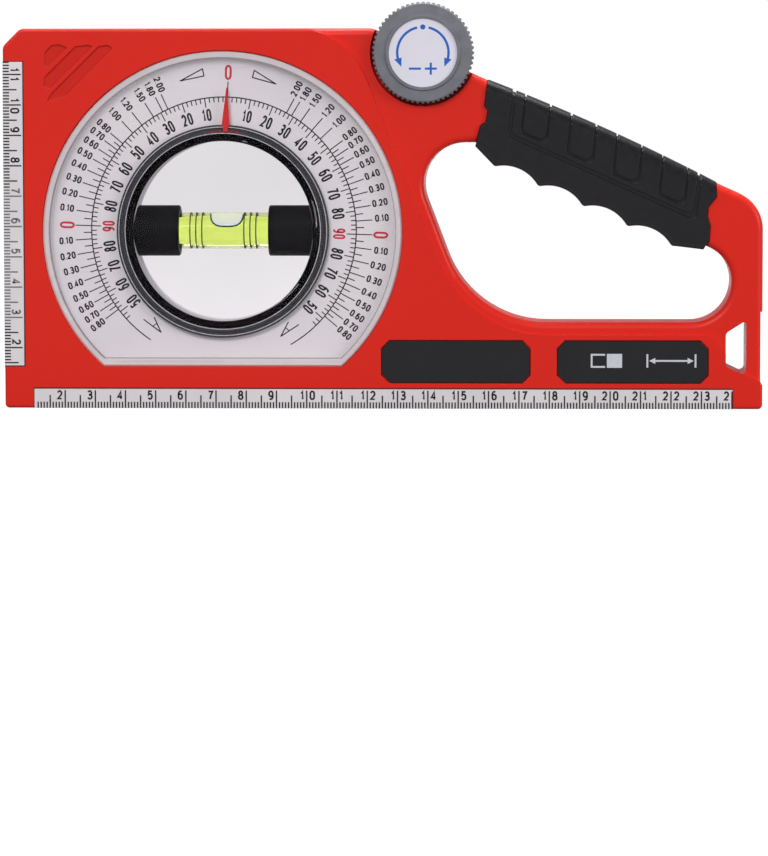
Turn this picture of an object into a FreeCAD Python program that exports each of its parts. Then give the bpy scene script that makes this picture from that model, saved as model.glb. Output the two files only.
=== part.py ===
import FreeCAD, Part
import math
import os

# An inclinometer with a turning vial ring, a sloping handle and two rulers.
# X runs along the base, Y runs from the dial side to the back, Z is up.
# The origin is the middle of the base face. All lengths are millimetres.

Vec = FreeCAD.Vector
os.makedirs("parts", exist_ok=True)

# Case
body_length = 250.0
body_height = 125.0
body_depth = 25.0
wall = 2.5
base_wall = 8.5
zone_step = 1.2
dial_zone_edge = 1.0
handle_zone_edge = 2.2
base_corner_radius = 1.5
top_left_chamfer = 5.8
top_left_radius = 3.0
handle_end_height = 67.3
handle_end_radius = 12.8
shoulder_radius = 4.0

# Corners of the hand opening: x from the dial's edge over the span to the opening's end,
# z over the height of the case, radius over the opening's mean size
opening_end_margin = 10.35
opening_low_share = 0.2280
opening_high_share = 0.7008
hand_opening_shares = (
    (0.0064, opening_high_share, 0.1727),
    (0.2260, opening_high_share, 0.0313),
    (1.0, 0.3988, 0.1527),
    (1.0, opening_low_share, 0.1665),
    (0.2159, opening_low_share, 0.4357),
)

# Corners of the lower zone of the front face, in the same shares
lower_zone_shares = (
    (-0.4141, 1.0400, 0.0),
    (-0.1519, 0.9576, 0.3255),
    (0.1955, 0.1952, 0.4852),
    (0.9337, 0.1952, 0.0626),
    (0.9810, 0.1530, 0.0126),
    (0.9986, 0.1112, 0.0),
    (1.1885, 0.0300, 0.0),
    (1.1885, 1.1200, 0.0),
    (-0.4141, 1.1200, 0.0),
)

# Lanyard slot and the slimmer bar beside it: x over the slot's width, from its outer side,
# z and radius over its height
lanyard_slot_inset = 5.3
lanyard_slot_width = 6.75
lanyard_slot_low = 10.875
lanyard_slot_height = 18.375
lanyard_slot_shares = (
    (0.0, 1.0, 0.0408),
    (-1.0, 0.7687, 0.1088),
    (-1.0, 0.1769, 0.0816),
    (0.0, 0.0, 0.0816),
)
lanyard_bar_inset = 0.7
lanyard_bar_low = 8.0
lanyard_bar_high = 32.0

# Three slanting marks sunk into the front face, placed from its top left corner
mark_depth = 0.5
mark_reach = 36.0
mark_shares = (
    ((0.386, 0.342), (0.386, 0.219), (0.450, 0.153),
     (0.519, 0.144), (0.594, 0.175), (0.422, 0.336)),
    ((0.381, 0.444), (0.381, 0.525), (0.436, 0.544),
     (0.825, 0.164), (0.786, 0.150), (0.667, 0.164)),
    ((0.408, 0.658), (0.575, 0.614), (1.008, 0.181),
     (0.967, 0.150), (0.878, 0.164), (0.442, 0.594)),
)

# Dial
dial_left_margin = 12.7
dial_top_margin = 7.2
dial_low_margin = 13.7
dial_flat_share = 0.74958
cover_sink = 0.3
cover_thickness = 1.6
cover_chamfer = 0.6
cover_skirt_depth = 2.6
cover_skirt_wall = 2.2
cover_side_gap = 0.15
dial_plate_thickness = 1.0
ledge_thickness = 2.0
ledge_gap = 3.8

# Turning ring and vial
ring_tube_share = 0.55966
ring_wall = 3.5
ring_back_gap = 0.4
rear_window_margin = 0.4
bezel_width = 1.8
bezel_thickness = 1.4
bezel_float = 0.4
bezel_lip_width = 0.8
bezel_lip_height = 0.5
lens_seat_wall = 0.6
lens_thickness = 1.0
lens_side_gap = 0.05
retainer_width = 1.0
retainer_thickness = 0.5
retainer_clip_count = 4
retainer_clip_width = 2.4
retainer_clip_height = 0.25
pointer_thickness = 0.4
pointer_reach_share = 0.5041
pointer_tail_inset = 0.4
pointer_width = 2.6
pointer_tail_width = 1.5
pointer_tip_width = 0.25
pointer_lean = 1.85
ring_flange_width = 4.9
ring_flange_thickness = 1.6
ring_screw_inset = 2.4
ring_screw_count = 4
ring_screw_radius = 0.8
ring_screw_head_radius = 1.4
ring_screw_head_height = 0.8
running_clearance = 0.08
thrust_gap = 0.4

vial_depth_place = 0.15
vial_radius = 6.0
vial_wall = 1.0
vial_end_inset = 7.8
vial_plug_length = 4.0
vial_barrel_radius = 180.0
vial_seat_gap = 0.05
holder_radius = 8.4
holder_length = 15.0
holder_chamfer = 0.35

# Gear train between the knob and the turning ring
ring_teeth = 60
idler_teeth = 23
pinion_teeth = 12
gear_width = 3.5
gear_front_gap = 0.3
pressure_angle = math.radians(25.0)
addendum_share = 0.8
dedendum_share = 1.1
backlash_share = 0.10
idler_hub_radius = 5.0
idler_hub_height = 0.6
idler_pin_radius = 2.0
idler_pin_seat = 3.0
idler_pin_inset = 0.2
idler_web_inset = 4.0
idler_web_depth = 0.8

# Knob
knob_radius = 16.65
knob_top_inset = 8.04
knob_dial_gap = 12.34
knob_shoulder_reach = 17.00
knob_tooth_count = 60
knob_tooth_height = 0.65
knob_tooth_shares = ((-0.44, 0), (-0.16, 1), (0.16, 1), (0.44, 0))
knob_thickness = 8.0
knob_proud = 2.6
knob_pocket_gap = 0.8
knob_pocket_depth = 6.0
knob_floor_thickness = 1.7
knob_rim_radius = 12.5
knob_rim_height = 0.5
knob_edge_chamfer = 0.8
label_radius = 11.3
label_thickness = 0.5
lug_radius = 15.0
shaft_radius = 3.0
bush_radius = 4.6
bush_flange_radius = 6.4
bush_flange_thickness = 0.4
knob_screw_radius = 1.4
knob_screw_head_radius = 2.8
knob_screw_head_height = 1.4
knob_screw_length = 7.0
boss_wall = 2.2

# Grip sleeve, measured along the sloping top edge of the handle
grip_knob_gap = 5.45
grip_end_margin = 16.7
grip_height = 22.0
grip_proud = 0.9
grip_end_rise = 0.3
grip_crown_rise = 1.45
grip_top_round = 4.0
grip_finger_round = 1.4
bar_top_inset = 3.2
bar_height = 15.3
bar_side_inset = 2.0
bar_gap = 0.1
seam_gap = 0.15
finger_count = 4
finger_start_share = 0.1648
finger_span_share = 0.7758
finger_peak_drop = 2.95
finger_peak_radius = 1.5
finger_valley_drop = 0.2
left_seam_shares = ((0.0, 0.0), (0.115, 0.37), (0.19, 0.41), (0.23, 0.57), (0.18, 0.66), (0.23, 0.97))
right_seam_shares = ((0.0, 0.0), (0.08, 0.18), (0.03, 0.36), (0.07, 0.49), (0.17, 0.60), (0.25, 0.82), (0.23, 0.98))
groove_width = 0.75
outer_groove_width = 1.4
groove_depth = 0.7
groove_corner = 2.0
groove_lean_share = 0.32
block_start_share = 0.1709
block_step_share = 0.2
block_width_share = 0.0994
block_drop = 10.4
outer_groove_drop = 12.6
outer_groove_inset = 3.8

# Rulers, plates and fasteners
ruler_thickness = 0.8
base_ruler_margin = 9.8
base_ruler_height = 6.6
side_ruler_low = 13.9
side_ruler_top_margin = 10.9
side_ruler_width = 6.7
plate_thickness = 0.8
plate_sink = 0.3
plate_gap = 0.25
plate_chamfer = 2.7
plate_low = 8.6
plate_height = 13.8
plate_dial_inset = 6.9
plate_end_margin = 17.9
left_plate_share = 0.4548
right_plate_share = 0.4604

magnet_radius = 6.0
magnet_height = 5.0
magnet_sink = 0.2
magnet_gap = 0.1
magnet_place_shares = (-0.40, -0.14, 0.12, 0.38)

screw_radius = 1.5
screw_head_radius = 2.8
screw_head_height = 1.6
screw_head_sink = 0.4
screw_length = 16.0
screw_hole_gap = 0.05
screw_slot_width = 0.7
screw_slot_depth = 0.7
screw_slot_reach_share = 0.7
screw_boss_radius = 3.6
screw_left_inset = 12.0
screw_top_inset = 12.5
screw_grip_gap = 4.4
screw_grip_drop = 14.5
screw_right_inset = 5.4
screw_end_inset = 8.5
screw_end_drop = 3.55
screw_right_share = 0.613
screw_middle_shares = ((-0.2658, 0.944), (0.0583, 0.288), (0.4313, 0.112))

overrun = 5.0

# Places worked out from the sizes above
front_y = -body_depth / 2
back_y = body_depth / 2
lower_front_y = front_y + zone_step
cavity_front_y = lower_front_y + wall
cavity_back_y = back_y - wall
half_length = body_length / 2

dial_radius = (body_height - dial_top_margin - dial_low_margin) / (1 + dial_flat_share)
dial_flat_drop = dial_radius * dial_flat_share
dial_x = -half_length + dial_left_margin + dial_radius
dial_z = dial_low_margin + dial_flat_drop
dial_edge_x = dial_x + dial_radius
opening_span = half_length - opening_end_margin - dial_edge_x
opening_mean = math.sqrt(opening_span * (opening_high_share - opening_low_share) * body_height)

ring_tube_radius = dial_radius * ring_tube_share
ring_bore_radius = ring_tube_radius - ring_wall
bezel_radius = ring_tube_radius + bezel_width
lens_radius = ring_tube_radius - lens_seat_wall
retainer_inner_radius = ring_tube_radius - retainer_width
ring_flange_radius = ring_tube_radius + ring_flange_width
ring_screw_circle = ring_flange_radius - ring_screw_inset
ledge_opening_radius = ring_flange_radius + ledge_gap
pointer_tip_radius = bezel_radius + (dial_radius - bezel_radius) * pointer_reach_share
pointer_tail_radius = ring_tube_radius - pointer_tail_inset
vial_length = 2 * (ring_bore_radius - vial_end_inset)
holder_gap = 2 * (ring_bore_radius - holder_length)

base_ruler_length = body_length - 2 * base_ruler_margin
side_ruler_length = body_height - side_ruler_low - side_ruler_top_margin
left_plate_start = dial_edge_x - plate_dial_inset
plates_span = half_length - plate_end_margin - left_plate_start
left_plate_length = plates_span * left_plate_share
right_plate_length = plates_span * right_plate_share
right_plate_start = half_length - plate_end_margin - right_plate_length

cover_front_y = front_y + cover_sink
cover_back_y = cover_front_y + cover_thickness
plate_front_y = cover_back_y + cover_skirt_depth
plate_back_y = plate_front_y + dial_plate_thickness
ledge_back_y = plate_back_y + ledge_thickness

bezel_back_y = plate_front_y - bezel_float
bezel_front_y = bezel_back_y - bezel_thickness
tube_front_y = bezel_front_y + retainer_thickness
tube_back_y = cavity_back_y - ring_back_gap
front_lens_y = tube_front_y
back_lens_y = tube_back_y - lens_thickness

knob_front_y = front_y - knob_proud
knob_back_y = knob_front_y + knob_thickness
knob_floor_y = front_y + knob_pocket_depth
gear_floor_y = knob_floor_y + knob_floor_thickness
gear_front_y = gear_floor_y + gear_front_gap
gear_back_y = gear_front_y + gear_width
flange_back_y = gear_back_y + ring_flange_thickness
collar_front_y = flange_back_y + thrust_gap
idler_pin_front_y = plate_back_y + idler_pin_inset
knob_pocket_radius = knob_radius + knob_pocket_gap

# The three gears stand in one line, so their module follows from the centre distance
knob_z = body_height - knob_top_inset
train_length = dial_radius + knob_dial_gap + knob_radius
train_dz = knob_z - dial_z
train_dx = math.sqrt(train_length ** 2 - train_dz ** 2)
train_angle = math.atan2(train_dz, train_dx)
knob_x = dial_x + train_dx
gear_module = train_length / (ring_teeth / 2 + idler_teeth + pinion_teeth / 2)
ring_pitch_radius = gear_module * ring_teeth / 2
idler_pitch_radius = gear_module * idler_teeth / 2
pinion_pitch_radius = gear_module * pinion_teeth / 2
idler_reach = ring_pitch_radius + idler_pitch_radius
idler_x = dial_x + idler_reach * math.cos(train_angle)
idler_z = dial_z + idler_reach * math.sin(train_angle)

# The sloping edge runs from the shoulder on the top edge down to the right side
shoulder_x = knob_x - knob_shoulder_reach
slope_angle = math.atan2(body_height - handle_end_height, half_length - shoulder_x)
slope_length = math.hypot(body_height - handle_end_height, half_length - shoulder_x)

# Places along the sloping edge
knob_place = knob_shoulder_reach * math.cos(slope_angle) + knob_top_inset * math.sin(slope_angle)
grip_start = knob_place + knob_pocket_radius + grip_knob_gap
grip_length = slope_length - grip_start - grip_end_margin
finger_step = grip_length * finger_span_share / finger_count
finger_start = grip_length * finger_start_share
block_start = grip_length * block_start_share
block_step = grip_length * block_step_share
block_width = grip_length * block_width_share

Y_AXIS = Vec(0, 1, 0)
NOWHERE = Vec(0, 0, 0)


def rounded_face(corners, y):
    # A flat face across Y with each corner rounded to its own radius
    pieces = []
    count = len(corners)
    places = [Vec(x, y, z) for x, z, radius in corners]
    for index in range(count):
        here = places[index]
        radius = corners[index][2]
        back = (places[index - 1] - here).normalize()
        ahead = (places[(index + 1) % count] - here).normalize()
        if radius == 0:
            pieces.append((here, None, here))
            continue
        half = back.getAngle(ahead) / 2
        reach = radius / math.tan(half)
        middle_line = (back + ahead).normalize()
        centre = here + middle_line * (radius / math.sin(half))
        pieces.append((here + back * reach, centre - middle_line * radius, here + ahead * reach))
    edges = []
    for index in range(count):
        start, middle, end = pieces[index]
        if middle is not None:
            edges.append(Part.Arc(start, middle, end).toShape())
        following = pieces[(index + 1) % count][0]
        if end.distanceToPoint(following) > 1e-6 * body_length:
            edges.append(Part.LineSegment(end, following).toShape())
    return Part.Face(Part.Wire(edges))


def plain_face(points, y):
    places = [Vec(x, y, z) for x, z in points]
    return Part.Face(Part.makePolygon(places + places[:1]))


def prism(face, depth):
    return face.extrude(Vec(0, depth, 0))


def opening_corners(shares):
    # Shares of the room right of the dial become places in the case
    corners = []
    for x, z, radius in shares:
        corners.append((dial_edge_x + x * opening_span, z * body_height, radius * opening_mean))
    return corners


def slot_corners():
    corners = []
    for x, z, radius in lanyard_slot_shares:
        corners.append((half_length - lanyard_slot_inset + x * lanyard_slot_width,
                        lanyard_slot_low + z * lanyard_slot_height, radius * lanyard_slot_height))
    return corners


def mark_points(shares):
    return [(-half_length + x * mark_reach, body_height - z * mark_reach) for x, z in shares]


def rod(x, z, radius, low_y, high_y):
    return Part.makeCylinder(radius, high_y - low_y, Vec(x, low_y, z), Y_AXIS)


def pipe(x, z, outer, inner, low_y, high_y):
    core = rod(x, z, inner, low_y - overrun, high_y + overrun)
    return rod(x, z, outer, low_y, high_y).cut(core)


def block(low_x, high_x, low_y, high_y, low_z, high_z):
    return Part.makeBox(high_x - low_x, high_y - low_y, high_z - low_z, Vec(low_x, low_y, low_z))


def edges_at(shape, y):
    # Edges that lie flat in the plane of the given depth
    found = []
    for edge in shape.Edges:
        box = edge.BoundBox
        if abs(box.YMin - y) < 1e-4 * body_depth and abs(box.YMax - y) < 1e-4 * body_depth:
            found.append(edge)
    return found


def dial_face(radius, drop, y):
    # A disc whose lower side is cut off flat
    half = math.sqrt(radius ** 2 - drop ** 2)
    left = Vec(dial_x - half, y, dial_z - drop)
    right = Vec(dial_x + half, y, dial_z - drop)
    top = Vec(dial_x, y, dial_z + radius)
    arc = Part.Arc(left, top, right).toShape()
    chord = Part.LineSegment(right, left).toShape()
    return Part.Face(Part.Wire([arc, chord]))


def on_slope(shape):
    # Shapes of the handle are drawn along X and then laid on the sloping edge
    shape.rotate(NOWHERE, Y_AXIS, math.degrees(slope_angle))
    shape.translate(Vec(shoulder_x, 0, body_height))
    return shape


def gear_face(x, z, teeth, phase, y):
    # Stub involute teeth, a little thin so that the train runs free
    pitch = gear_module * teeth / 2
    base = pitch * math.cos(pressure_angle)
    tip = pitch + addendum_share * gear_module
    root = pitch - dedendum_share * gear_module
    half_tooth = (math.pi / 4 - backlash_share / 2) * gear_module / pitch
    rolled = math.tan(pressure_angle) - pressure_angle
    flank = [(root, half_tooth + rolled)]
    for radius in (base, pitch, (pitch + tip) / 2, tip):
        if radius <= root:
            continue
        slant = math.acos(min(1.0, base / radius))
        flank.append((radius, half_tooth + rolled - (math.tan(slant) - slant)))
    if base < root:
        slant = math.acos(base / root)
        flank[0] = (root, half_tooth + rolled - (math.tan(slant) - slant))
    points = []
    for tooth in range(teeth):
        middle = phase + 2 * math.pi * tooth / teeth
        for radius, half in flank:
            points.append((x + radius * math.cos(middle - half), z + radius * math.sin(middle - half)))
        for radius, half in reversed(flank):
            points.append((x + radius * math.cos(middle + half), z + radius * math.sin(middle + half)))
    return plain_face(points, y)


def meshing_phase(angle, teeth, other_teeth, other_phase):
    # Turns a gear so that its gap faces the neighbour's tooth on the line of centres
    other_part = (angle - other_phase) * other_teeth / (2 * math.pi)
    own_part = 0.5 - other_part
    return angle + math.pi - own_part * 2 * math.pi / teeth


ring_phase = math.pi / 2
idler_phase = meshing_phase(train_angle, idler_teeth, ring_teeth, ring_phase)
pinion_phase = meshing_phase(train_angle, pinion_teeth, idler_teeth, idler_phase)


# Case shells

def body_face(y):
    chamfered = [
        (-half_length, 0, base_corner_radius),
        (half_length, 0, base_corner_radius),
        (half_length, handle_end_height, handle_end_radius),
        (shoulder_x, body_height, shoulder_radius),
        (-half_length + top_left_chamfer, body_height, top_left_radius),
        (-half_length, body_height - top_left_chamfer, top_left_radius),
    ]
    return rounded_face(chamfered, y)


def hand_opening_face(y):
    return rounded_face(opening_corners(hand_opening_shares), y)


def hand_opening(low_y, high_y):
    return prism(hand_opening_face(low_y), high_y - low_y)


def open_body_face(y):
    return body_face(y).cut(hand_opening_face(y)).Faces[0]


def seam_points(extra):
    # The sleeve's two ends; the gap keeps the sleeve off the case
    left = []
    for x, z in left_seam_shares:
        left.append((grip_start + x * grip_height - extra, -z * grip_height))
    right = []
    for x, z in right_seam_shares:
        right.append((grip_start + grip_length + x * grip_height + extra, -z * grip_height))
    return left, right


def sleeve_zone(extra, low_y, high_y):
    # Everything between the two seams, above and below the handle
    left, right = seam_points(extra)
    over = [(right[0][0], overrun), (left[0][0], overrun)]
    under = [(left[-1][0], left[-1][1] - overrun * 2), (right[-1][0], right[-1][1] - overrun * 2)]
    outline = left + under + right[::-1] + over
    return on_slope(prism(plain_face(outline, low_y), high_y - low_y))


def straight_bar(extra, low_y, high_y):
    # The narrow bar of the case that fills the sleeve, before it is laid on the slope
    start = grip_start - wall
    length = grip_length + wall * 2 + right_seam_shares[-1][0] * grip_height
    top = -bar_top_inset + extra
    bottom = -bar_top_inset - bar_height - extra
    return block(start, start + length, low_y, high_y, bottom, top)


def handle_bar(extra, low_y, high_y):
    return on_slope(straight_bar(extra, low_y, high_y))


def screw_places():
    # Two at the left, three round the opening, one before the sleeve and two at the right
    places = [(-half_length + screw_left_inset, body_height - screw_top_inset),
              (-half_length + screw_left_inset, base_wall)]
    for x, z in screw_middle_shares:
        places.append((dial_edge_x + x * opening_span, z * body_height))
    along = grip_start - screw_grip_gap
    cosine = math.cos(slope_angle)
    sine = math.sin(slope_angle)
    places.append((shoulder_x + along * cosine - screw_grip_drop * sine,
                   body_height - along * sine - screw_grip_drop * cosine))
    places.append((half_length - screw_right_inset, handle_end_height * screw_right_share))
    places.append((half_length - screw_end_inset, handle_end_height - screw_end_drop))
    return places


def screw_bosses(low_y, high_y):
    return [rod(x, z, screw_boss_radius, low_y, high_y) for x, z in screw_places()]


def hollow(low_y, high_y):
    # The room inside the case, a wall's thickness in from every side
    room = body_face(low_y).makeOffset2D(-wall)
    room = prism(room, high_y - low_y)
    opening = hand_opening_face(low_y).makeOffset2D(wall)
    room = room.cut(prism(opening, high_y - low_y))
    room = room.cut(sleeve_zone(wall, low_y - overrun, high_y + overrun))
    room = room.cut(block(-body_length, body_length, low_y - overrun, high_y + overrun, -overrun, base_wall))
    slot = rounded_face(slot_corners(), low_y).makeOffset2D(wall)
    room = room.cut(prism(slot, high_y - low_y))
    side = half_length - lanyard_bar_inset - wall
    room = room.cut(block(side, body_length, low_y, high_y, -overrun, lanyard_bar_high + wall))
    for boss in screw_bosses(low_y, high_y):
        room = room.cut(boss)
    return room


def cut_common(shell, low_y, high_y):
    # Openings that run through both shells
    shell = shell.cut(hand_opening(low_y - overrun, high_y + overrun))
    slot = rounded_face(slot_corners(), low_y - overrun)
    shell = shell.cut(prism(slot, high_y - low_y + overrun * 2))
    bar_side = half_length - lanyard_bar_inset
    edge = block(bar_side, body_length, low_y - overrun, high_y + overrun, lanyard_bar_low, lanyard_bar_high)
    shell = shell.cut(edge)
    inside = max(low_y, front_y + bar_side_inset + zone_step)
    outside = min(high_y, back_y - bar_side_inset)
    zone = sleeve_zone(0.0, low_y - overrun, high_y + overrun)
    return shell.cut(zone.cut(handle_bar(0.0, inside, outside)))


def magnet_pockets(shell):
    for share in magnet_place_shares:
        place = Vec(share * body_length, 0, -overrun)
        pocket = Part.makeCylinder(magnet_radius + magnet_gap, magnet_height + magnet_sink + overrun, place)
        shell = shell.cut(pocket)
    return shell


def front_shell():
    lower = prism(open_body_face(lower_front_y), -lower_front_y)
    lower = lower.makeFillet(handle_zone_edge, edges_at(lower, lower_front_y))
    upper = prism(body_face(front_y), -front_y)
    upper = upper.makeFillet(dial_zone_edge, edges_at(upper, front_y))
    zone = rounded_face(opening_corners(lower_zone_shares), front_y - overrun)
    upper = upper.cut(prism(zone, -front_y + overrun * 2))
    lug = rod(knob_x, knob_z, lug_radius, knob_floor_y, 0)
    shell = upper.fuse(lower).fuse(lug)

    room = hollow(cavity_front_y, 0)
    cup = prism(dial_face(dial_radius + wall, dial_flat_drop + wall, front_y), ledge_back_y - front_y)
    knob_cup = rod(knob_x, knob_z, knob_pocket_radius + wall, front_y, gear_floor_y)
    idler_boss = rod(idler_x, idler_z, idler_pin_radius + boss_wall, cavity_front_y, gear_floor_y)
    for solid in (cup, knob_cup, idler_boss):
        room = room.cut(solid)
    pinion_tip = pinion_pitch_radius + gear_module
    room = room.fuse(rod(knob_x, knob_z, pinion_tip, gear_floor_y, 0))
    shell = shell.cut(room)

    shell = shell.cut(prism(dial_face(dial_radius, dial_flat_drop, front_y - overrun),
                            plate_back_y - front_y + overrun))
    shell = shell.cut(rod(dial_x, dial_z, ledge_opening_radius, front_y, 0))
    shell = shell.cut(rod(knob_x, knob_z, knob_pocket_radius, front_y - overrun, knob_floor_y))
    shell = shell.cut(rod(knob_x, knob_z, bush_radius, knob_floor_y - overrun, 0))
    shell = shell.cut(rod(idler_x, idler_z, idler_pin_radius, idler_pin_front_y, 0))
    shell = cut_common(shell, front_y, 0)
    shell = magnet_pockets(shell)

    half_ruler = base_ruler_length / 2
    ruler_floor_y = front_y + ruler_thickness
    shell = shell.cut(block(-half_ruler - seam_gap, half_ruler + seam_gap, front_y - overrun, ruler_floor_y,
                            -overrun, base_ruler_height + seam_gap))
    shell = shell.cut(block(-body_length, -half_length + side_ruler_width + seam_gap, front_y - overrun,
                            ruler_floor_y, side_ruler_low - seam_gap,
                            side_ruler_low + side_ruler_length + seam_gap))
    for start, length in ((left_plate_start, left_plate_length), (right_plate_start, right_plate_length)):
        face = plate_face(start, length, plate_gap, front_y - overrun)
        shell = shell.cut(prism(face, overrun + plate_sink + plate_thickness))
    for shares in mark_shares:
        marks = plain_face(mark_points(shares), front_y - overrun)
        shell = shell.cut(prism(marks, overrun + mark_depth))
    for x, z in screw_places():
        hole = rod(x, z, screw_radius + screw_hole_gap,
                   back_y - screw_head_sink - screw_head_height - screw_length, overrun)
        shell = shell.cut(hole)
    return shell.removeSplitter()


def rear_shell():
    shell = prism(open_body_face(0), back_y)
    shell = shell.makeFillet(handle_zone_edge, edges_at(shell, back_y))
    lug = rod(knob_x, knob_z, lug_radius, 0, back_y)
    lug = lug.makeFillet(handle_zone_edge, edges_at(lug, back_y))
    shell = shell.fuse(lug)

    room = hollow(0, cavity_back_y)
    pinion_tip = pinion_pitch_radius + gear_module
    room = room.fuse(rod(knob_x, knob_z, pinion_tip, 0, cavity_back_y))
    collar_radius = ring_tube_radius + running_clearance
    room = room.cut(rod(dial_x, dial_z, collar_radius + boss_wall, collar_front_y, cavity_back_y))
    shaft_boss = rod(knob_x, knob_z, shaft_radius + boss_wall, collar_front_y, cavity_back_y)
    pin_boss = rod(idler_x, idler_z, idler_pin_radius + boss_wall, collar_front_y, cavity_back_y)
    room = room.cut(shaft_boss).cut(pin_boss)
    shell = shell.cut(room)

    shell = shell.cut(rod(dial_x, dial_z, collar_radius, 0, cavity_back_y))
    shell = shell.cut(rod(dial_x, dial_z, ring_bore_radius + rear_window_margin, 0, back_y + overrun))
    shell = shell.cut(rod(knob_x, knob_z, shaft_radius + running_clearance, 0, cavity_back_y))
    shell = shell.cut(rod(idler_x, idler_z, idler_pin_radius, 0, collar_front_y + idler_pin_seat))
    shell = cut_common(shell, 0, back_y)
    shell = magnet_pockets(shell)
    for x, z in screw_places():
        shell = shell.cut(rod(x, z, screw_radius + screw_hole_gap, -overrun, back_y + overrun))
        head_low = back_y - screw_head_sink - screw_head_height
        shell = shell.cut(rod(x, z, screw_head_radius + screw_hole_gap, head_low, back_y + overrun))
    return shell.removeSplitter()


# Handle sleeve

def finger_edge(y):
    # Lower edge of the sleeve: hollows for the fingers between small rounded peaks
    left, right = seam_points(-seam_gap)
    rise = finger_peak_drop - finger_valley_drop
    half = finger_step / 2
    hollow_radius = (half ** 2 + rise ** 2) / (2 * rise)
    valley_z = -grip_height - finger_valley_drop
    reach = hollow_radius + finger_peak_radius
    peak_centre_z = valley_z - hollow_radius + math.sqrt(reach ** 2 - half ** 2)
    side = half * finger_peak_radius / reach
    shoulder_z = peak_centre_z - math.sqrt(finger_peak_radius ** 2 - side ** 2)
    peak_z = peak_centre_z - finger_peak_radius
    edges = []
    here = Vec(left[-1][0], y, left[-1][1])
    for finger in range(finger_count + 1):
        peak_x = grip_start + finger_start + finger * finger_step
        foot = Vec(peak_x - side, y, shoulder_z)
        if finger == 0:
            edges.append(Part.LineSegment(here, foot).toShape())
        else:
            edges.append(Part.Arc(here, Vec(peak_x - half, y, valley_z), foot).toShape())
        here = Vec(peak_x + side, y, shoulder_z)
        edges.append(Part.Arc(foot, Vec(peak_x, y, peak_z), here).toShape())
    edges.append(Part.LineSegment(here, Vec(right[-1][0], y, right[-1][1])).toShape())
    return edges


def sleeve_face(y):
    # The sleeve seen from the front, open upwards for the crowned section
    left, right = seam_points(-seam_gap)
    edges = finger_edge(y)
    over = [(right[0][0], overrun), (left[0][0], overrun)]
    climb = right[::-1] + over + left
    for start, end in zip(climb[:-1], climb[1:]):
        edges.append(Part.LineSegment(Vec(start[0], y, start[1]), Vec(end[0], y, end[1])).toShape())
    return Part.Face(Part.Wire(edges))


def crowned_section(inset, low_y, high_y):
    # The sleeve's section with its rounded top edges; the top rises towards the middle
    bottom = -grip_height - finger_peak_drop
    low_x = grip_start - overrun
    high_x = grip_start + grip_length + grip_height
    middle_x = grip_start + grip_length / 2
    fall = (grip_crown_rise - grip_end_rise) / (grip_length / 2) ** 2
    top = grip_crown_rise - inset
    ends = [Vec(x, low_y, top - fall * (x - middle_x) ** 2) for x in (low_x, high_x)]
    arc = Part.Arc(ends[0], Vec(middle_x, low_y, top), ends[1]).toShape()
    feet = [Vec(x, low_y, bottom) for x in (high_x, low_x)]
    sides = Part.makePolygon([ends[1]] + feet + [ends[0]]).Edges
    section = prism(Part.Face(Part.Wire([arc] + sides)), high_y - low_y)
    long_edges = []
    for edge in section.Edges:
        if edge.BoundBox.XLength > grip_length and edge.BoundBox.ZMin > bottom / 2:
            long_edges.append(edge)
    return section.makeFillet(grip_top_round - inset, long_edges)


def pocket_solid(start, end, drop, low_y, high_y):
    # A leaning pocket that is open at the top and rounded at its two lower corners
    lean = groove_lean_share * drop
    over = groove_lean_share * overrun
    corners = [(start - over, overrun, 0), (end - over, overrun, 0),
               (end + lean, -drop, groove_corner), (start + lean, -drop, groove_corner)]
    return prism(rounded_face(corners, low_y), high_y - low_y)


def groove_solid(start, end, drop, width, low_y, high_y):
    # A groove that runs down one side of a raised block, under it and up its other side
    outside = pocket_solid(start - width, end + width, drop + width, low_y, high_y)
    return outside.cut(pocket_solid(start, end, drop, low_y - overrun, high_y + overrun))


def groove_solids(low_y, high_y):
    # Grooves round the raised blocks, through the whole thickness of the sleeve
    first = grip_start + block_start
    solids = []
    for number in range(finger_count):
        start = first + number * block_step
        solids.append(groove_solid(start, start + block_width, block_drop, groove_width, low_y, high_y))
    last = first + (finger_count - 1) * block_step + block_width
    solids.append(groove_solid(first - outer_groove_inset, last + outer_groove_inset, outer_groove_drop,
                               outer_groove_width, low_y, high_y))
    return solids


def handle_grip():
    low_y = lower_front_y - grip_proud
    high_y = back_y + grip_proud
    solid = prism(sleeve_face(low_y), high_y - low_y)
    finger_edges = []
    for edge in edges_at(solid, low_y) + edges_at(solid, high_y):
        if edge.BoundBox.ZMax < -bar_top_inset - bar_height:
            finger_edges.append(edge)
    solid = solid.makeFillet(grip_finger_round, finger_edges)
    solid = solid.common(crowned_section(0, low_y, high_y))
    inside = front_y + bar_side_inset + zone_step
    solid = solid.cut(straight_bar(bar_gap, inside - bar_gap, back_y - bar_side_inset + bar_gap))
    core = crowned_section(groove_depth, low_y + groove_depth, high_y - groove_depth)
    for groove in groove_solids(low_y - overrun, high_y + overrun):
        solid = solid.cut(groove.cut(core))
    return on_slope(solid)


# Dial

def dial_cover():
    top = prism(dial_face(dial_radius - cover_side_gap, dial_flat_drop - cover_side_gap, cover_front_y),
                cover_thickness)
    top = top.makeChamfer(cover_chamfer, edges_at(top, cover_front_y))
    skirt = prism(dial_face(dial_radius - cover_side_gap, dial_flat_drop - cover_side_gap, cover_back_y),
                  cover_skirt_depth)
    inside = prism(dial_face(dial_radius - cover_skirt_wall, dial_flat_drop - cover_skirt_wall, cover_back_y),
                   cover_skirt_depth)
    return top.fuse(skirt.cut(inside)).removeSplitter()


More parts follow.
